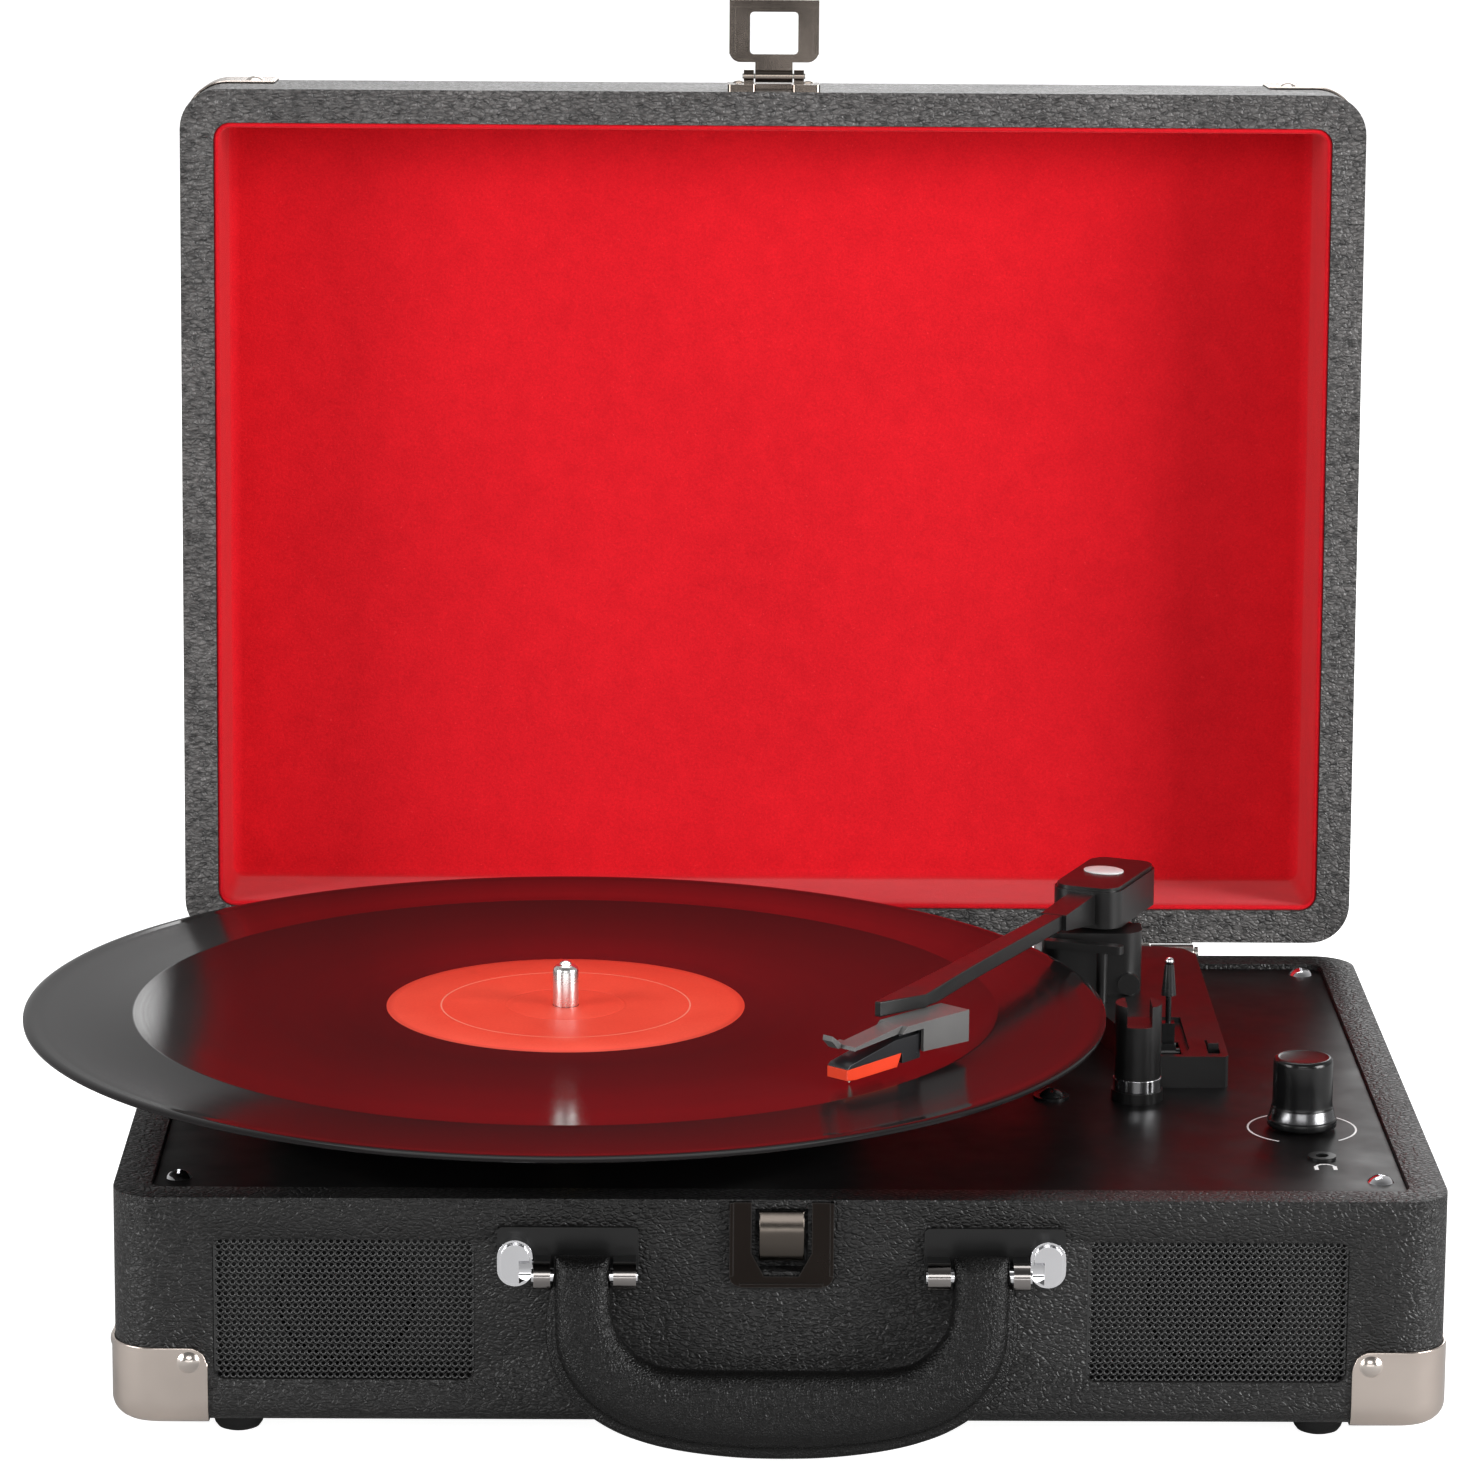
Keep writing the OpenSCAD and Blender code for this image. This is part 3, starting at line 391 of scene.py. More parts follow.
def label_paper(name):
    """Coated label: orange-red, a thin paler ring, pressed rings and a faint print grain."""
    m = Mat(name, rough=0.5, Specular_IOR_Level=0.35)
    r = m.radius((0, 0, 0))
    ring = m.math("LESS_THAN", m.math("ABSOLUTE", m.math("SUBTRACT", r, 0.03475)), 0.00022)
    rim = m.remap(r, 0.0478, 0.0492, 0, 1)
    grain = m.noise(1300, 4, 0.65)
    blot = m.noise(45, 3)
    c = m.mix(m.remap(m.math("ADD", m.math("MULTIPLY", grain, 0.5), m.math("MULTIPLY", blot, 0.5)), 0.35, 0.65, 0, 1), (0.82, 0.060, 0.028), (0.92, 0.088, 0.045))
    c = m.mix(m.math("MULTIPLY", ring, 0.55), c, (0.93, 0.42, 0.30))
    c = m.mix(m.math("MULTIPLY", rim, 0.35), c, (0.5, 0.02, 0.01))
    m.color(c)
    press = m.math("ABSOLUTE", m.math("SUBTRACT", r, 0.0165))
    m.bump(m.remap(press, 0.0, 0.0007, 0, 1, smooth=True), 0.5, 0.0002)
    m.bump(grain, 0.12, 0.00005)
    return m


VINYL, LABEL = vinyl("vinyl_pressed"), label_paper("label_print")


# ---------------------------------------------------------------- CAD nodes: material, weld, bevel, smooth shading
def dress(name, mat, bevel=0.0, segments=2, angle=32):
    o = nodes[name]
    o.data.materials.clear()
    o.data.materials.append(mat.m)
    for a in ("custom_normal",):
        if a in o.data.attributes:
            o.data.attributes.remove(o.data.attributes[a])
    for p in o.data.polygons:
        p.material_index = 0
        p.use_smooth = True
    weld = o.modifiers.new("weld", "WELD")
    weld.merge_threshold = 2e-6
    if bevel:
        b = o.modifiers.new("bevel", "BEVEL")
        b.width = bevel * MM
        b.segments = segments
        b.limit_method = "ANGLE"
        b.angle_limit = math.radians(angle)
        b.harden_normals = True
        b.use_clamp_overlap = True
        b.miter_outer = "MITER_ARC"
    else:
        e = o.modifiers.new("split", "EDGE_SPLIT")
        e.split_angle = math.radians(angle)
    return o


LOOKS = {
    "base_case": (LEATHER, 1.1), "lid_shell": (LEATHER_LID_LIT, 1.1), "bottom_panel": (HARDBOARD, 0.3), "rubber_feet": (RUBBER, 0),
    "deck_plate": (DECK, 0.3), "deck_screws": (CHROME, 0), "base_corner_guards": (NICKEL, 0.5), "lid_corner_guards": (NICKEL, 0.5),
    "base_corner_rivets": (RIVET, 0), "lid_corner_rivets": (RIVET, 0), "speaker_frames": (BLACKMETAL, 0.3), "speaker_cones": (CONE, 0),
    "latch_strike_plate": (STRIKE, 0.3), "latch_hook": (HOOK, 0.45), "handle_mounts": (BLACKMETAL, 0.5), "handle_end_caps": (CHROME, 0.6),
    "handle_pins": (CHROME, 0.2), "hinge_base_leaves": (STEEL, 0.2), "hinge_lid_leaves": (STEEL, 0.2), "hinge_pins": (STEEL, 0.2),
    "hinge_base_screws": (STEEL, 0), "hinge_lid_screws": (STEEL, 0), "bearing_housing": (BRASS, 0.3), "motor": (MOTOR, 0.4),
    "motor_pulley": (BRASS, 0.1), "drive_belt": (RUBBER, 0), "transit_screw": (KNOB, 0.15), "tonearm_base_plate": (ARM, 0.45),
    "tonearm_pedestal": (ARM, 0.5), "arm_rest": (ARM, 0.35), "arm_rest_collar": (CHROME, 0.2), "potentiometer": (MOTOR, 0.3),
    "headphone_jack": (JACK, 0.2), "main_board": (CIRCUIT, 0.1), "rear_jack_panel": (JACK, 0.4), "rca_jacks": (BRASS, 0.15),
    "dc_inlet": (JACK, 0.2), "hasp_mount_plate": (DARKNI, 0.3), "hasp_pin": (STEEL, 0.1), "hasp_loop": (DARKNI, 0.35),
    "platter": (PLATTER, 0.3), "slip_mat": (RUBBER, 0.2), "spindle": (SATIN, 0), "tonearm_turret": (TURRET, 0.3),
    "tonearm_pivot_pin": (CHROME, 0.1), "tonearm_head": (ARM, 0.5), "tonearm_beam": (ARM, 0.35), "headshell": (SHELL, 0.25),
    "cartridge": (CART, 0.2), "stylus_holder": (ORANGE, 0.3), "stylus_tip": (TIP, 0), "cue_lever": (KNOB, 0.15),
    "cue_platform": (ARM, 0.3), "volume_knob": (KNOB, 0.25), "speed_switch": (ARM, 0.2), "lid_lining": (FELT, 0.8),
    "speaker_grilles": (GRILLE, 0), "handle_grip": (GRIP, 0.8), "vinyl_record": (VINYL, 0), "record_label": (LABEL, 0),
}
for n_, (m_, b_) in LOOKS.items():
    dress(n_, m_, b_)

CASE_W, CASE_D, Z0, Z1, LID_H, LEAN = 355.0, 258.0, 6.0, 68.4, 52.0, 3.5
YH, ZH, LZ = CASE_D + 3.2, Z1 - 0.1, Z1 + 0.5


def lid_point(x, y, z):
    """A point given on the shut lid, in mm, in the row frame with the lid open."""
    a = math.radians(-(90 + LEAN))
    dy, dz = y - YH, z - ZH
    return P(x, YH + dy * math.cos(a) - dz * math.sin(a), ZH + dy * math.sin(a) + dz * math.cos(a))


def lid_local(v):
    """The reverse: row frame to the shut lid's mm."""
    a = math.radians(90 + LEAN)
    x, y, z = v.x / MM + OX, v.y / MM + OY, v.z / MM
    dy, dz = y - YH, z - ZH
    return x, YH + dy * math.cos(a) - dz * math.sin(a), ZH + dy * math.sin(a) + dz * math.cos(a)


def outline_distance(x, y, r=12.0):
    """Signed distance from the case's outline seen from above; y from the front face."""
    qx, qy = abs(x) - (CASE_W / 2 - r), abs(y - CASE_D / 2) - (CASE_D / 2 - r)
    return math.hypot(max(qx, 0), max(qy, 0)) + min(max(qx, qy), 0) - r


def second(name, mat, test):
    """Faces whose centre, in front-frame mm, passes the test take another material."""
    o = nodes[name]
    o.data.materials.append(mat.m)
    for p in o.data.polygons:
        c = p.center
        if test(c.x / MM + OX, c.y / MM + OY, c.z / MM):
            p.material_index = len(o.data.materials) - 1


def soft_edge(name, width, test):
    """A wider rounding on the sharp edges whose ends pass the test, under the general bevel."""
    o = nodes[name]
    me = o.data
    key = [tuple(round(c * 1e6) for c in v.co) for v in me.vertices]
    ok = [test(v.co) for v in me.vertices]
    sides = {}
    for p in me.polygons:
        for a, b in p.edge_keys:
            if ok[a] and ok[b]:
                sides.setdefault(frozenset((key[a], key[b])), []).append(p.normal.copy())
    sharp = {k for k, n in sides.items() if len(n) == 2 and n[0].dot(n[1]) < 0.85}
    w = me.attributes.new("bevel_weight_edge", "FLOAT", "EDGE")
    for e in me.edges:
        a, b = e.vertices
        w.data[e.index].value = 1.0 if frozenset((key[a], key[b])) in sharp else 0.0
    b = o.modifiers.new("round", "BEVEL")
    b.width = width * MM
    b.segments = 6
    b.limit_method = "WEIGHT"
    b.harden_normals = True
    b.use_clamp_overlap = False
    with bpy.context.temp_override(object=o, active_object=o):
        bpy.ops.object.modifier_move_to_index(modifier="round", index=1)


soft_edge("base_case", 4.5, lambda v: v.z < 0.0061 and abs(outline_distance(v.x / MM + OX, v.y / MM + OY)) < 0.4)
second("handle_mounts", CHROME_DARK, lambda x, y, z: y < -1.6 and abs(z - 50) < 4.5 and (math.hypot(y + 8.5, z - 50) < 3.95 or y < -8.0))
second("cue_lever", CHROME, lambda x, y, z: z > 74 + 26.2)


# ---------------------------------------------------------------- mesh kit
def new_mesh(name, verts, faces, mat, body, smooth=True, at=None, sharp=None):
    me = bpy.data.meshes.new(name)
    me.from_pydata([tuple(v) for v in verts], [], faces)
    me.validate()
    bm = bmesh.new()
    bm.from_mesh(me)
    bmesh.ops.recalc_face_normals(bm, faces=bm.faces)
    bm.to_mesh(me)
    bm.free()
    me.materials.append(mat.m)
    if smooth:
        for p in me.polygons:
            p.use_smooth = True
        if sharp:
            me.set_sharp_from_angle(angle=math.radians(sharp))
    o = bpy.data.objects.new(name, me)
    bpy.context.scene.collection.objects.link(o)
    if at is not None:
        o.location = at
    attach(o, body)
    return o


def loft(rings, closed_ring=True, cap=True):
    """Faces of a strip of rings with the same number of points."""
    verts = [v for r in rings for v in r]
    k = len(rings[0])
    faces = []
    for i in range(len(rings) - 1):
        for j in range(k if closed_ring else k - 1):
            a, b = i * k + j, i * k + (j + 1) % k
            faces.append((a, b, b + k, a + k))
    if cap:
        faces.append(tuple(range(k - 1, -1, -1)))
        last = (len(rings) - 1) * k
        faces.append(tuple(range(last, last + k)))
    return verts, faces


def lathe(profile, n=256):
    """Closed solid from (r, z) points in metres, round Z; first and last points may be off the axis."""
    k = len(profile)
    verts, faces = [], []
    for i in range(n):
        a = 2 * math.pi * i / n
        c, s = math.cos(a), math.sin(a)
        verts += [(r * c, r * s, z) for r, z in profile]
    for i in range(n):
        j = (i + 1) % n
        for q in range(k):
            w = (q + 1) % k
            faces.append((i * k + q, j * k + q, j * k + w, i * k + w))
    return verts, faces


def catmull(points, per):
    out = []
    pts = [points[0]] + list(points) + [points[-1]]
    for i in range(1, len(pts) - 2):
        p0, p1, p2, p3 = (Vector(p) for p in pts[i - 1:i + 3])
        for s in range(per):
            t = s / per
            out.append(0.5 * ((2 * p1) + (p2 - p0) * t + (2 * p0 - 5 * p1 + 4 * p2 - p3) * t * t + (3 * p1 - p0 - 3 * p2 + p3) * t ** 3))
    out.append(Vector(points[-1]))
    return out


def ribbon(points, width, z, thick=0.03):
    """Flat printed line along 2-D points (front-frame mm) lying at height z."""
    verts, faces = [], []
    n = len(points)
    for i, p in enumerate(points):
        a, b = Vector(points[max(i - 1, 0)]), Vector(points[min(i + 1, n - 1)])
        d = (b - a).normalized()
        s = Vector((-d.y, d.x)) * width / 2
        for q in (Vector(p) - s, Vector(p) + s):
            verts.append(P(q.x, q.y, z + thick))
            verts.append(P(q.x, q.y, z - 0.02))
    for i in range(n - 1):
        a = i * 4
        faces += [(a, a + 2, a + 6, a + 4), (a, a + 4, a + 5, a + 1), (a + 2, a + 3, a + 7, a + 6)]
    faces += [(0, 1, 3, 2), ((n - 1) * 4, (n - 1) * 4 + 2, (n - 1) * 4 + 3, (n - 1) * 4 + 1)]
    return verts, faces


# ---------------------------------------------------------------- record and label
def record():
    mat_z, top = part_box("vinyl_record")[0].z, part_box("vinyl_record")[1].z
    z0, z1 = 0.0, top - mat_z
    r = 0.1508
    gaps = [0.1206]
    prof = [(0.00364, z0), (0.1495, z0), (0.1503, z0 + 0.0003), (r, z0 + 0.0006), (r, z1 - 0.0006), (0.1504, z1 - 0.00034), (0.1494, z1), (0.1482, z1 - 0.00004), (0.1465, z1 - 0.00018), (0.1458, z1 - 0.00020)]
    for g in gaps:
        prof += [(g + 0.0007, z1 - 0.0002), (g + 0.00035, z1 - 0.00012), (g - 0.00035, z1 - 0.00012), (g - 0.0007, z1 - 0.0002)]
    prof += [(0.0620, z1 - 0.0002), (0.0612, z1 - 0.00012), (0.0520, z1 - 0.0001), (0.0508, z1 - 0.00002), (0.0503, z1), (0.00364, z1)]
    v, f = lathe(prof, 288)
    o = new_mesh("record_disc", v, f, VINYL, "platter", at=Vector((AXIS.x, AXIS.y, mat_z)), sharp=50)
    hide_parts("vinyl_record")
    z = 0.00012
    prof = [(0.00366, 0), (0.0499, 0), (0.05, 0.00004), (0.0499, z), (0.0352, z), (0.0170, z), (0.0165, z * 0.4), (0.0160, z), (0.0040, z), (0.00366, z * 0.6)]
    v, f = lathe(prof, 160)
    o = new_mesh("record_label_print", v, f, LABEL, "platter", at=Vector((AXIS.x, AXIS.y, top)), sharp=50)
    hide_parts("record_label")


record()


# ---------------------------------------------------------------- speaker grilles
def grille():
    lo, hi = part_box("speaker_grilles")
    y0 = P(0, 1.25, 0).y
    t = 0.0007
    pitch, row = 1.84 * MM, 1.58 * MM
    verts, faces = [], []
    for s in (-1, 1):
        cx, cz, w, h = P(s * 115.9, 0, 0).x, 37.6 * MM, 34.55 * MM, 19.3 * MM
        rows = int(2 * h / row)
        for j in range(rows):
            zc = cz - h + (j + 0.5) * (2 * h / rows)
            off = pitch / 2 if j % 2 else 0
            n = int((2 * w - off) / pitch)
            x0 = cx - w + off + ((2 * w - off) - n * pitch) / 2
            dz = h / rows
            edges = [(cx - w, x0), (x0 + n * pitch, cx + w)]
            for a, b in edges:
                k = len(verts)
                verts += [(a, y0, zc - dz), (b, y0, zc - dz), (b, y0, zc + dz), (a, y0, zc + dz)]
                faces.append((k, k + 1, k + 2, k + 3))
            for i in range(n):
                xc = x0 + (i + 0.5) * pitch
                k = len(verts)
                out, inn, mid, back = [], [], [], []
                for q in range(8):
                    a = math.pi / 8 + q * math.pi / 4
                    c, sn = math.cos(a), math.sin(a)
                    m = max(abs(c), abs(sn))
                    out.append((xc + c / m * pitch / 2, y0, zc + sn / m * dz))
                    mid.append((xc + c * 0.66 * MM, y0 + 0.00005, zc + sn * 0.62 * MM))
                    inn.append((xc + c * 0.58 * MM, y0 + 0.0002, zc + sn * 0.545 * MM))
                    back.append((xc + c * 0.58 * MM, y0 + t, zc + sn * 0.545 * MM))
                verts += out + mid + inn + back
                for layer in range(3):
                    for q in range(8):
                        a, b = k + layer * 8 + q, k + layer * 8 + (q + 1) % 8
                        faces.append((a, b, b + 8, a + 8))
    me = bpy.data.meshes.new("grille_mesh")
    me.from_pydata(verts, [], faces)
    me.materials.append(GRILLE.m)
    for p in me.polygons:
        p.use_smooth = True
    me.set_sharp_from_angle(angle=math.radians(60))
    o = bpy.data.objects.new("grille_mesh", me)
    bpy.context.scene.collection.objects.link(o)
    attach(o, "base")
    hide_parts("speaker_grilles")


grille()


# ---------------------------------------------------------------- handle
def handle():
    lean = math.radians(-12)
    pin = P(0, -8.5, 50)

    def G(x, y, z):
        v = Vector((x, y, z)) * MM
        return pin + Vector((v.x, v.y * math.cos(lean) - v.z * math.sin(lean), v.y * math.sin(lean) + v.z * math.cos(lean)))

    pairs = [((60.2, 0), (45.2, 0)), ((61.6, -7), (45.0, -5)), ((62.3, -15), (44.7, -9.8)), ((60.9, -23), (43.5, -14.2)), ((57.2, -30.2), (41.2, -17.6)),
             ((51.5, -36.3), (38.0, -20.8)), ((44, -41), (33.6, -23.2)), ((36, -44), (28.2, -24.3)), ((28, -45.9), (22, -24.7)), ((19, -47.2), (15, -24.8)),
             ((9.5, -48.0), (7.5, -24.8)), ((0, -48.2), (0, -24.8))]
    outer = catmull([p[0] for p in pairs], 6)
    inner = catmull([p[1] for p in pairs], 6)
    rings_half = []
    n = 40

    def section(o2, i2, thick, flange):
        d = o2 - i2
        w = d.length
        u = d / w
        fl = flange
        body = w - fl
        ring = []
        pts = []
        for q in range(17):
            a = math.pi / 2 + math.pi * q / 16
            pts.append((body / 2 + math.copysign(abs(math.cos(a)) ** 0.62, math.cos(a)) * body / 2, math.copysign(abs(math.sin(a)) ** 0.8, math.sin(a)) * thick))
        for q in range(1, 6):
            a = -math.pi / 2 + (math.pi / 2) * q / 6
            pts.append((body / 2 + abs(math.cos(a)) ** 0.62 * body / 2 * 0.985, -abs(math.sin(a)) ** 0.8 * thick))
        ft = min(1.5, thick)
        if fl > 0.3:
            pts += [(body * 0.992, -ft * 1.25), (body + 0.15 * fl, -ft), (body + 0.7 * fl, -ft), (w - 0.12, -ft * 0.7), (w, 0.0), (w - 0.12, ft * 0.7), (body + 0.7 * fl, ft), (body + 0.15 * fl, ft), (body * 0.992, ft * 1.25)]
        else:
            e = w - body / 2
            pts += [(w - 0.25, -thick * 0.55), (w - 0.12, -thick * 0.45), (w - 0.05, -thick * 0.3), (w, -thick * 0.12), (w, 0.0), (w, thick * 0.12), (w - 0.05, thick * 0.3), (w - 0.12, thick * 0.45), (w - 0.25, thick * 0.55)]
        for q in range(5, 0, -1):
            a = -math.pi / 2 + (math.pi / 2) * q / 6
            pts.append((body / 2 + abs(math.cos(a)) ** 0.62 * body / 2 * 0.985, abs(math.sin(a)) ** 0.8 * thick))
        for x, y in pts:
            c = i2 + u * x
            ring.append((c.x, y, c.y))
        return ring

    for z in (5.35, 4.9, 4.0, 2.8, 1.4):
        t = math.sqrt(5.5 ** 2 - z * z)
        rings_half.append(section(Vector((60.0, z)), Vector((45.2, z)), t, 0.0))
    m = len(outer)
    for i in range(m):
        f = i / (m - 1)
        grow = min(1, i / 10)
        rings_half.append(section(outer[i], inner[i], 5.5 + 0.25 * math.sin(math.pi * min(1, f * 1.2)), 2.5 * grow))
    right = rings_half
    left = [[(-x, y, z) for x, y, z in r] for r in reversed(right[:-1])]
    rings = right + left
    rings = [[G(*p) for p in r] for r in rings]
    v, f = loft(rings)
    o = new_mesh("handle_wrap", v, f, GRIP, "handle")
    s = o.modifiers.new("subd", "SUBSURF")
    s.levels = s.render_levels = 1
    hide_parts("handle_grip")


handle()


# ---------------------------------------------------------------- felt lining of the lid
def lining():
    """One sheet of felt: rolled lip at the rim, walls, a soft cove and a back panel that is not quite flat."""
    hw, hd, r0, t = CASE_W / 2 - 10, CASE_D / 2 - 10, 5.0, 1.5
    z0, zb = LZ + 0.6, LZ + 44.0

    def outline(ins, z):
        r = max(r0 - ins, 0.6)
        pts = []
        for qx, qy, a0 in ((1, 1, 0), (-1, 1, 90), (-1, -1, 180), (1, -1, 270)):
            cx, cy = qx * (hw - ins - r), qy * (hd - ins - r)
            for i in range(9):
                a = math.radians(a0 + 90 * i / 8)
                pts.append((cx + r * math.cos(a), cy + r * math.sin(a), z))
        full = []
        for i, p in enumerate(pts):
            q = pts[(i + 1) % len(pts)]
            d = math.hypot(q[0] - p[0], q[1] - p[1])
            n = 40 if d > 20 else 1
            full += [tuple(p[k] + (q[k] - p[k]) * j / n for k in range(3)) for j in range(n)]
        return full

    rings = [outline(0.05, zb + t - 0.05), outline(0.05, z0 + 0.5), outline(0.25, z0 + 0.1), outline(0.75, z0), outline(1.3, z0 + 0.15), outline(t, z0 + 0.6)]
    rings += [outline(t, z0 + 0.6 + (zb - 3.2 - z0 - 0.6) * i / 14) for i in range(1, 15)]
    rings += [outline(t + 3.2 * (1 - math.cos(math.pi / 2 * i / 7)), zb - 3.2 + 3.2 * math.sin(math.pi / 2 * i / 7)) for i in range(1, 8)]
    edge = rings[-1]
    for i in range(1, 46):
        k = 1 - i / 46
        rings.append([(x * k, y * k, z) for x, y, z in edge])
    n = len(edge)
    verts = []
    for j, ring in enumerate(rings):
        for x, y, z in ring:
            if j > 5:
                w = noise.noise(Vector((x / 38, y / 38, z / 38))) * 0.5 + noise.noise(Vector((x / 9, y / 9, z / 9))) * 0.18
                lift = 0.34 * max(0.0, 0.5 + w)
                if j > 26:
                    z -= lift
                else:
                    s_ = 1 - lift / hw
                    x, y = x * s_, y * s_
            verts.append(lid_point(x, CASE_D / 2 + y, z))
    faces = [(j * n + i, j * n + (i + 1) % n, (j + 1) * n + (i + 1) % n, (j + 1) * n + i) for j in range(len(rings) - 1) for i in range(n)]
    last = (len(rings) - 1) * n
    verts.append(lid_point(0, CASE_D / 2, zb - 0.17))
    faces += [(last + i, last + (i + 1) % n, len(verts) - 1) for i in range(n)]
    verts.append(lid_point(0, CASE_D / 2, zb + t - 0.05))
    faces += [((i + 1) % n, i, len(verts) - 1) for i in range(n)]
    o = new_mesh("lid_felt_sheet", verts, faces, FELT, "lid")
    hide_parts("lid_lining")


lining()


# ---------------------------------------------------------------- corner guards
def guard_mesh(place, name, body, node):
    """Pressed caps round the four closed corners; place(x, y, z) takes z from the closed end."""
    t, rc, rb, length, high = 0.9, 12.0, 5.4, 25.5, 21.0
    verts, faces = [], []
    for sx in (-1, 1):
        for sy in (-1, 1):
            cx, cy = sx * (CASE_W / 2 - rc), CASE_D / 2 + sy * (CASE_D / 2 - rc)
            run = length + t - rc - t
            path = []
            for i in range(10):
                d = run * (1 - i / 10)
                path.append(((cx - sx * d, cy + sy * (rc + t)), (0, sy), run - d))
            for i in range(13):
                a = math.pi / 2 * i / 12
                n = (sx * math.sin(a), sy * math.cos(a))
                path.append(((cx + n[0] * (rc + t), cy + n[1] * (rc + t)), n, 99))
            for i in range(1, 11):
                d = run * i / 10
                path.append(((cx + sx * (rc + t), cy - sy * d), (sx, 0), run - d))
            base = len(verts)
            cols = len(path)
            rows = 0
            for k, (p, n, end) in enumerate(path):
                e = min(end, 5.0)
                top = high - (5.0 - math.sqrt(max(0.0, 25.0 - (5.0 - e) ** 2)))
                prof = [(0.0, top + (rb - t - top) * q / 9) for q in range(10)]
                prof += [(rb * (1 - math.cos(math.pi / 2 * q / 7)), -t + rb * (1 - math.sin(math.pi / 2 * q / 7))) for q in range(1, 8)]
                prof += [(rb + 6.4 * q / 3, -t) for q in range(1, 4)]
                rows = len(prof)
                for ins, z in prof:
                    verts.append(place(p[0] - n[0] * ins, p[1] - n[1] * ins, z))
            for i in range(cols - 1):
                for j in range(rows - 1):
                    a = base + i * rows + j
                    f = (a, a + 1, a + rows + 1, a + rows)
                    faces.append(f if sx * sy > 0 else f[::-1])
    me = bpy.data.meshes.new(name)
    me.from_pydata([tuple(v) for v in verts], [], faces)
    bm = bmesh.new()
    bm.from_mesh(me)
    bmesh.ops.recalc_face_normals(bm, faces=bm.faces)
    centre = sum((v.co for v in bm.verts), Vector()) / len(bm.verts)
    flip = sum(f.calc_area() * f.normal.dot(f.calc_center_median() - centre) for f in bm.faces) < 0
    if flip:
        bmesh.ops.reverse_faces(bm, faces=bm.faces)
    bm.to_mesh(me)
    bm.free()
    for p in me.polygons:
        p.use_smooth = True
    me.materials.append(NICKEL.m)
    o = bpy.data.objects.new(name, me)
    bpy.context.scene.collection.objects.link(o)
    s = o.modifiers.new("shell", "SOLIDIFY")
    s.thickness = 0.85 * MM
    s.offset = -1
    b = o.modifiers.new("rim", "BEVEL")
    b.width = 0.35 * MM
    b.segments = 3
    b.limit_method = "ANGLE"
    b.angle_limit = math.radians(50)
    b.harden_normals = True
    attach(o, body)
    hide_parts(node)


guard_mesh(lambda x, y, z: P(x, y, Z0 + z), "base_guard_caps", "base", "base_corner_guards")


# ---------------------------------------------------------------- volume knob
def knob():
    zd = 66.9 * MM
    prof = [(4, 1.0), (9.2, 1.0), (9.5, 1.1), (9.6, 1.35), (9.6, 2.75), (9.5, 3.05), (9.3, 3.2), (9.2, 3.3), (8.62, 6.2), (8.5, 6.5), (8.42, 6.6), (8.36, 6.9), (8.3, 7.6), (8.25, 13.0), (8.2, 18.9), (8.1, 19.6), (7.8, 20.1), (7.3, 20.36), (6.9, 20.4), (6.7, 20.28), (6.4, 20.2), (0.05, 20.2)]
    verts, faces = lathe([(a * MM, b * MM) for a, b in prof], 128)
    c = P(144.9, 75.5, 0)
    o = new_mesh("volume_knob_turned", verts, faces, KNOB, "knob", at=Vector((c.x, c.y, zd)), sharp=60)
    o.data.materials.append(BAND.m)
    for p in o.data.polygons:
        if 0.0033 < p.center.z < 0.0062 and math.hypot(p.center.x, p.center.y) > 0.0083:
            p.material_index = 1
    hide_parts("volume_knob")


knob()


# ---------------------------------------------------------------- prints and badge on the deck and arm
def prints():
    deck_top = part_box("deck_plate")[1].z / MM - 0.3
    cx, cy, r = 144.9, 75.0, 14.9
    pts = []
    a0, a1 = -53, 360 - 120.7
    for i in range(91):
        a = math.radians(a0 + (a1 - a0) * i / 90)
        pts.append((cx + r * math.cos(a), cy + r * math.sin(a)))
    v, f = ribbon(pts, 0.55, deck_top)
    new_mesh("volume_scale_print", v, f, PRINT, "base", smooth=False)
    pts = []
    for i in range(21):
        a = math.radians(20 + 140 * i / 20)
        pts.append((147.6 + 2.7 * math.cos(a), 37.0 + 2.7 * math.sin(a) * 1.15))
    verts, faces = [], []
    stubs = [[(pts[0][0], pts[0][1] + 0.2), (pts[0][0], pts[0][1] - 3.2)], [(pts[-1][0], pts[-1][1] + 0.2), (pts[-1][0], pts[-1][1] - 3.2)]]
    for line, width in ((pts, 0.5), (stubs[0], 1.1), (stubs[1], 1.1)):
        v, f = ribbon(line, width, deck_top)
        k = len(verts)
        verts += v
        faces += [tuple(q + k for q in face) for face in f]
    v, f = verts, faces
    new_mesh("headphone_mark_print", v, f, PRINT, "base", smooth=False)


prints()


def badge():
    a = math.radians(-90 - 23)
    ux, uy = Vector((math.cos(a), math.sin(a))), Vector((-math.sin(a), math.cos(a)))
    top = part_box("tonearm_head")[1].z / MM
    rings = []
    for s, dz in ((1.0, 0.0), (1.0, 0.28), (0.93, 0.42), (0.6, 0.5)):
        ring = []
        for i in range(40):
            t = 2 * math.pi * i / 40
            q = Vector((98.2, 206.4)) + ux * (4.6 * s * math.cos(t)) + uy * (6.0 * s * math.sin(t))
            ring.append(P(q.x, q.y, top + dz))
        rings.append(ring)
    v, f = loft(rings)
    new_mesh("arm_badge_blank", v, f, WHITE, "arm", smooth=True, sharp=40)


badge()


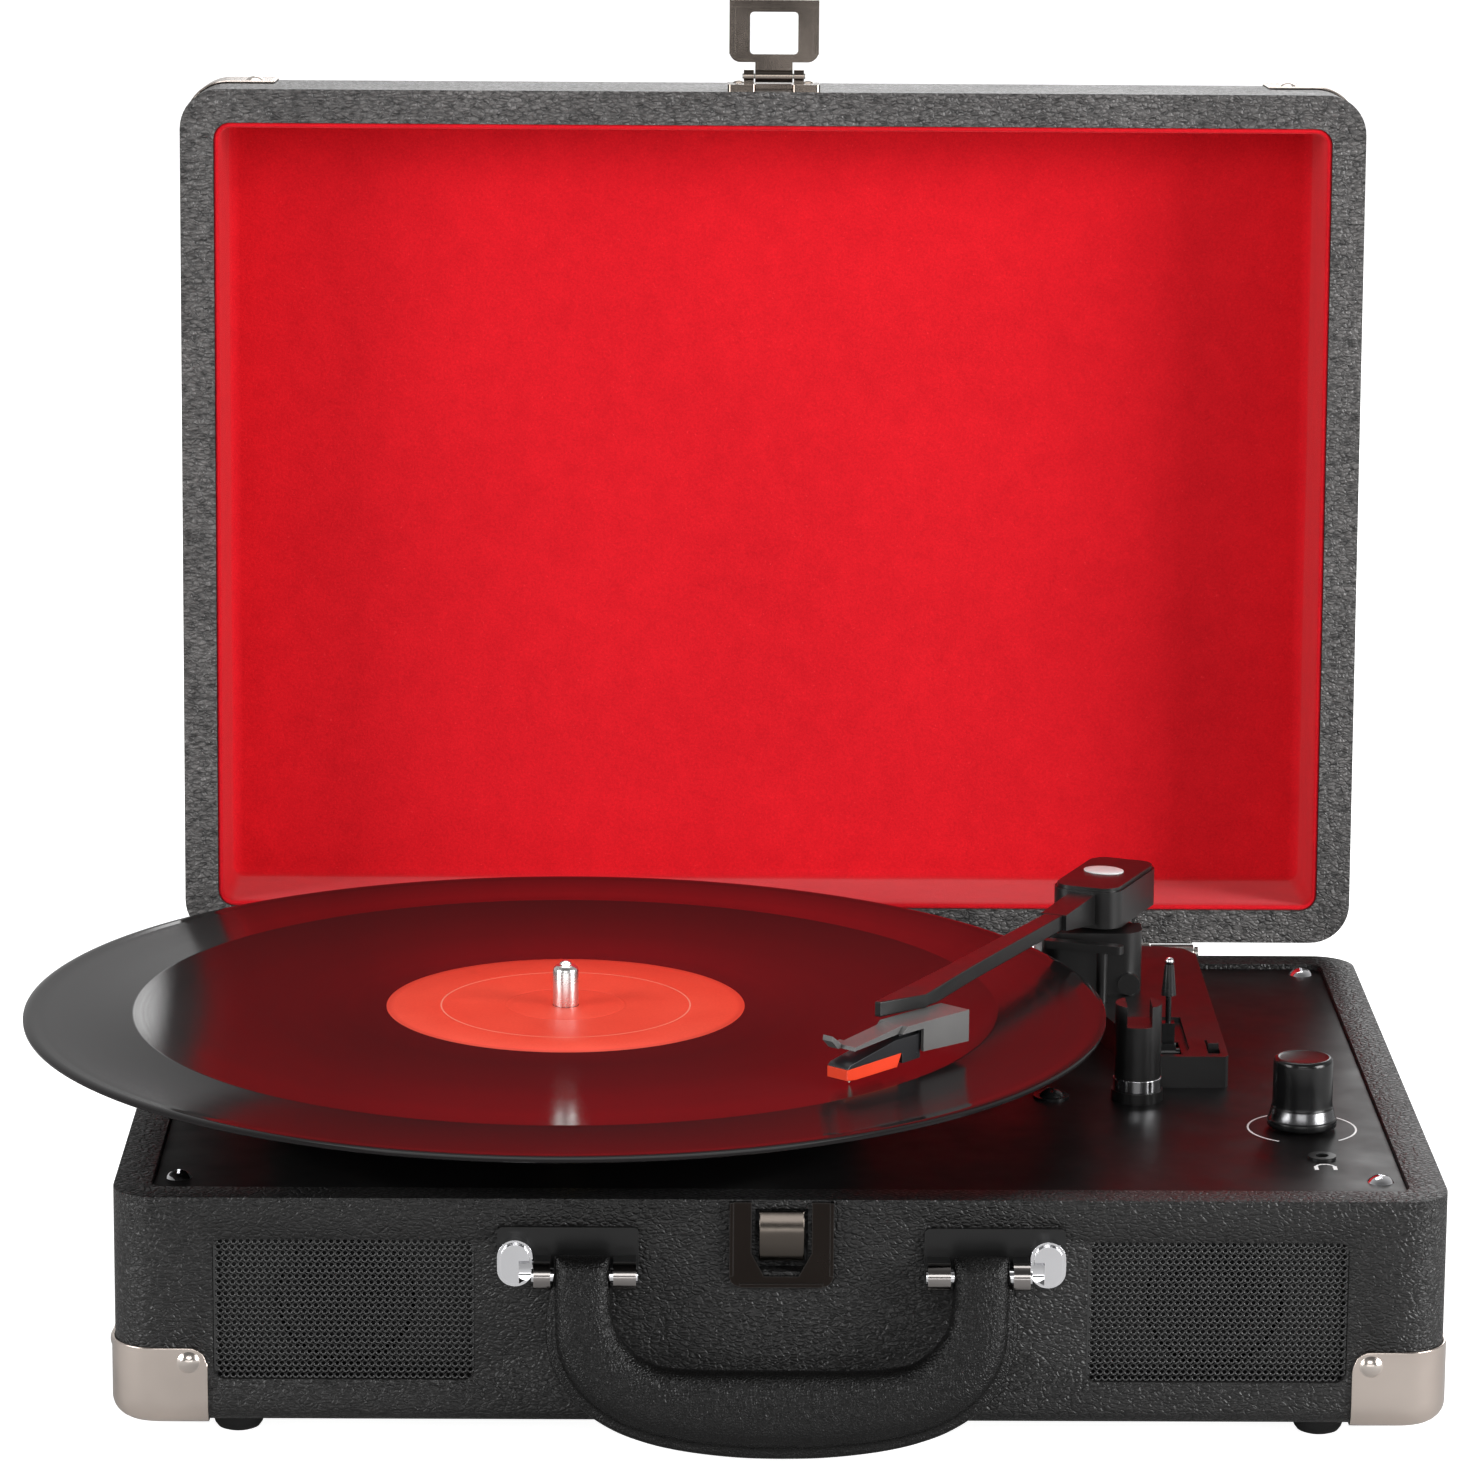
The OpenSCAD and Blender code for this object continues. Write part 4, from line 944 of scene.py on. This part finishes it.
# ---------------------------------------------------------------- stage and light
def stage():
    me = bpy.data.meshes.new("floor")
    s, n = 4.0, 12
    verts = [(-s, -s, -0.0002), (s, -s, -0.0002), (s, s, -0.0002), (-s, s, -0.0002)]
    me.from_pydata(verts, [], [(0, 1, 2, 3)])
    o = bpy.data.objects.new("floor", me)
    bpy.context.scene.collection.objects.link(o)
    m = Mat("floor_pale", (0.62, 0.62, 0.62), 0.9, Specular_IOR_Level=0.1)
    lp = m.t.nodes.new("ShaderNodeLightPath")
    em = m.t.nodes.new("ShaderNodeEmission")
    em.inputs[0].default_value = (1, 1, 1, 1)
    em.inputs[1].default_value = 0.95
    add = m.t.nodes.new("ShaderNodeAddShader")
    mix = m.t.nodes.new("ShaderNodeMixShader")
    m.t.links.new(m.b.outputs[0], add.inputs[0])
    m.t.links.new(em.outputs[0], add.inputs[1])
    m.t.links.new(lp.outputs["Is Camera Ray"], mix.inputs[0])
    m.t.links.new(m.b.outputs[0], mix.inputs[1])
    m.t.links.new(add.outputs[0], mix.inputs[2])
    m.t.links.new(mix.outputs[0], m.out.inputs[0])
    me.materials.append(m.m)


stage()


def area(name, loc, target, size, power, color=(1, 1, 1), shape_y=None):
    d = bpy.data.lights.new(name, "AREA")
    d.energy = power
    d.color = color
    d.size = size
    if shape_y:
        d.shape = "RECTANGLE"
        d.size_y = shape_y
    o = bpy.data.objects.new(name, d)
    bpy.context.scene.collection.objects.link(o)
    o.location = loc
    o.rotation_euler = (Vector(target) - Vector(loc)).to_track_quat("-Z", "Y").to_euler()
    return o


area("box_left", (-1.60, -0.85, 0.60), (0, 0.1, 0.2), 0.9, 23, shape_y=0.9)
area("box_right", (1.62, -0.85, 0.58), (0, 0.1, 0.2), 0.9, 38, shape_y=0.9)
area("box_front", (-0.10, -2.00, 0.95), (0, 0.1, 0.25), 1.2, 8, shape_y=0.6)
area("strip_low", (0.0, -2.30, 0.12), (0, 0, 0.2), 2.2, 5, shape_y=0.22)
area("box_top", (0.0, 0.55, 1.70), (0, 0, 0.1), 1.2, 7, shape_y=0.8)
area("box_back", (0.3, 1.9, 0.9), (0, 0, 0.15), 1.2, 9, shape_y=0.8)

world = bpy.data.worlds.new("studio")
bpy.context.scene.world = world
world.use_nodes = True
wt = world.node_tree
bg = wt.nodes["Background"]
geo = wt.nodes.new("ShaderNodeTexCoord")
sep = wt.nodes.new("ShaderNodeSeparateXYZ")
wt.links.new(geo.outputs["Generated"], sep.inputs[0])
ramp = wt.nodes.new("ShaderNodeMapRange")
wt.links.new(sep.outputs[1], ramp.inputs[0])
for i, v in enumerate((-0.4, 0.9, 0.14, 0.62)):
    ramp.inputs[i + 1].default_value = v
path = wt.nodes.new("ShaderNodeLightPath")
pick = wt.nodes.new("ShaderNodeMix")
wt.links.new(path.outputs["Is Camera Ray"], pick.inputs[0])
wt.links.new(ramp.outputs[0], pick.inputs[2])
pick.inputs[3].default_value = 1.0
wt.links.new(pick.outputs[0], bg.inputs[1])
bg.inputs[0].default_value = (1, 1, 1, 1)
bpy.context.scene.view_settings.view_transform = "Standard"
bpy.context.scene.view_settings.look = "None"
bpy.context.scene.view_settings.exposure = 0.0
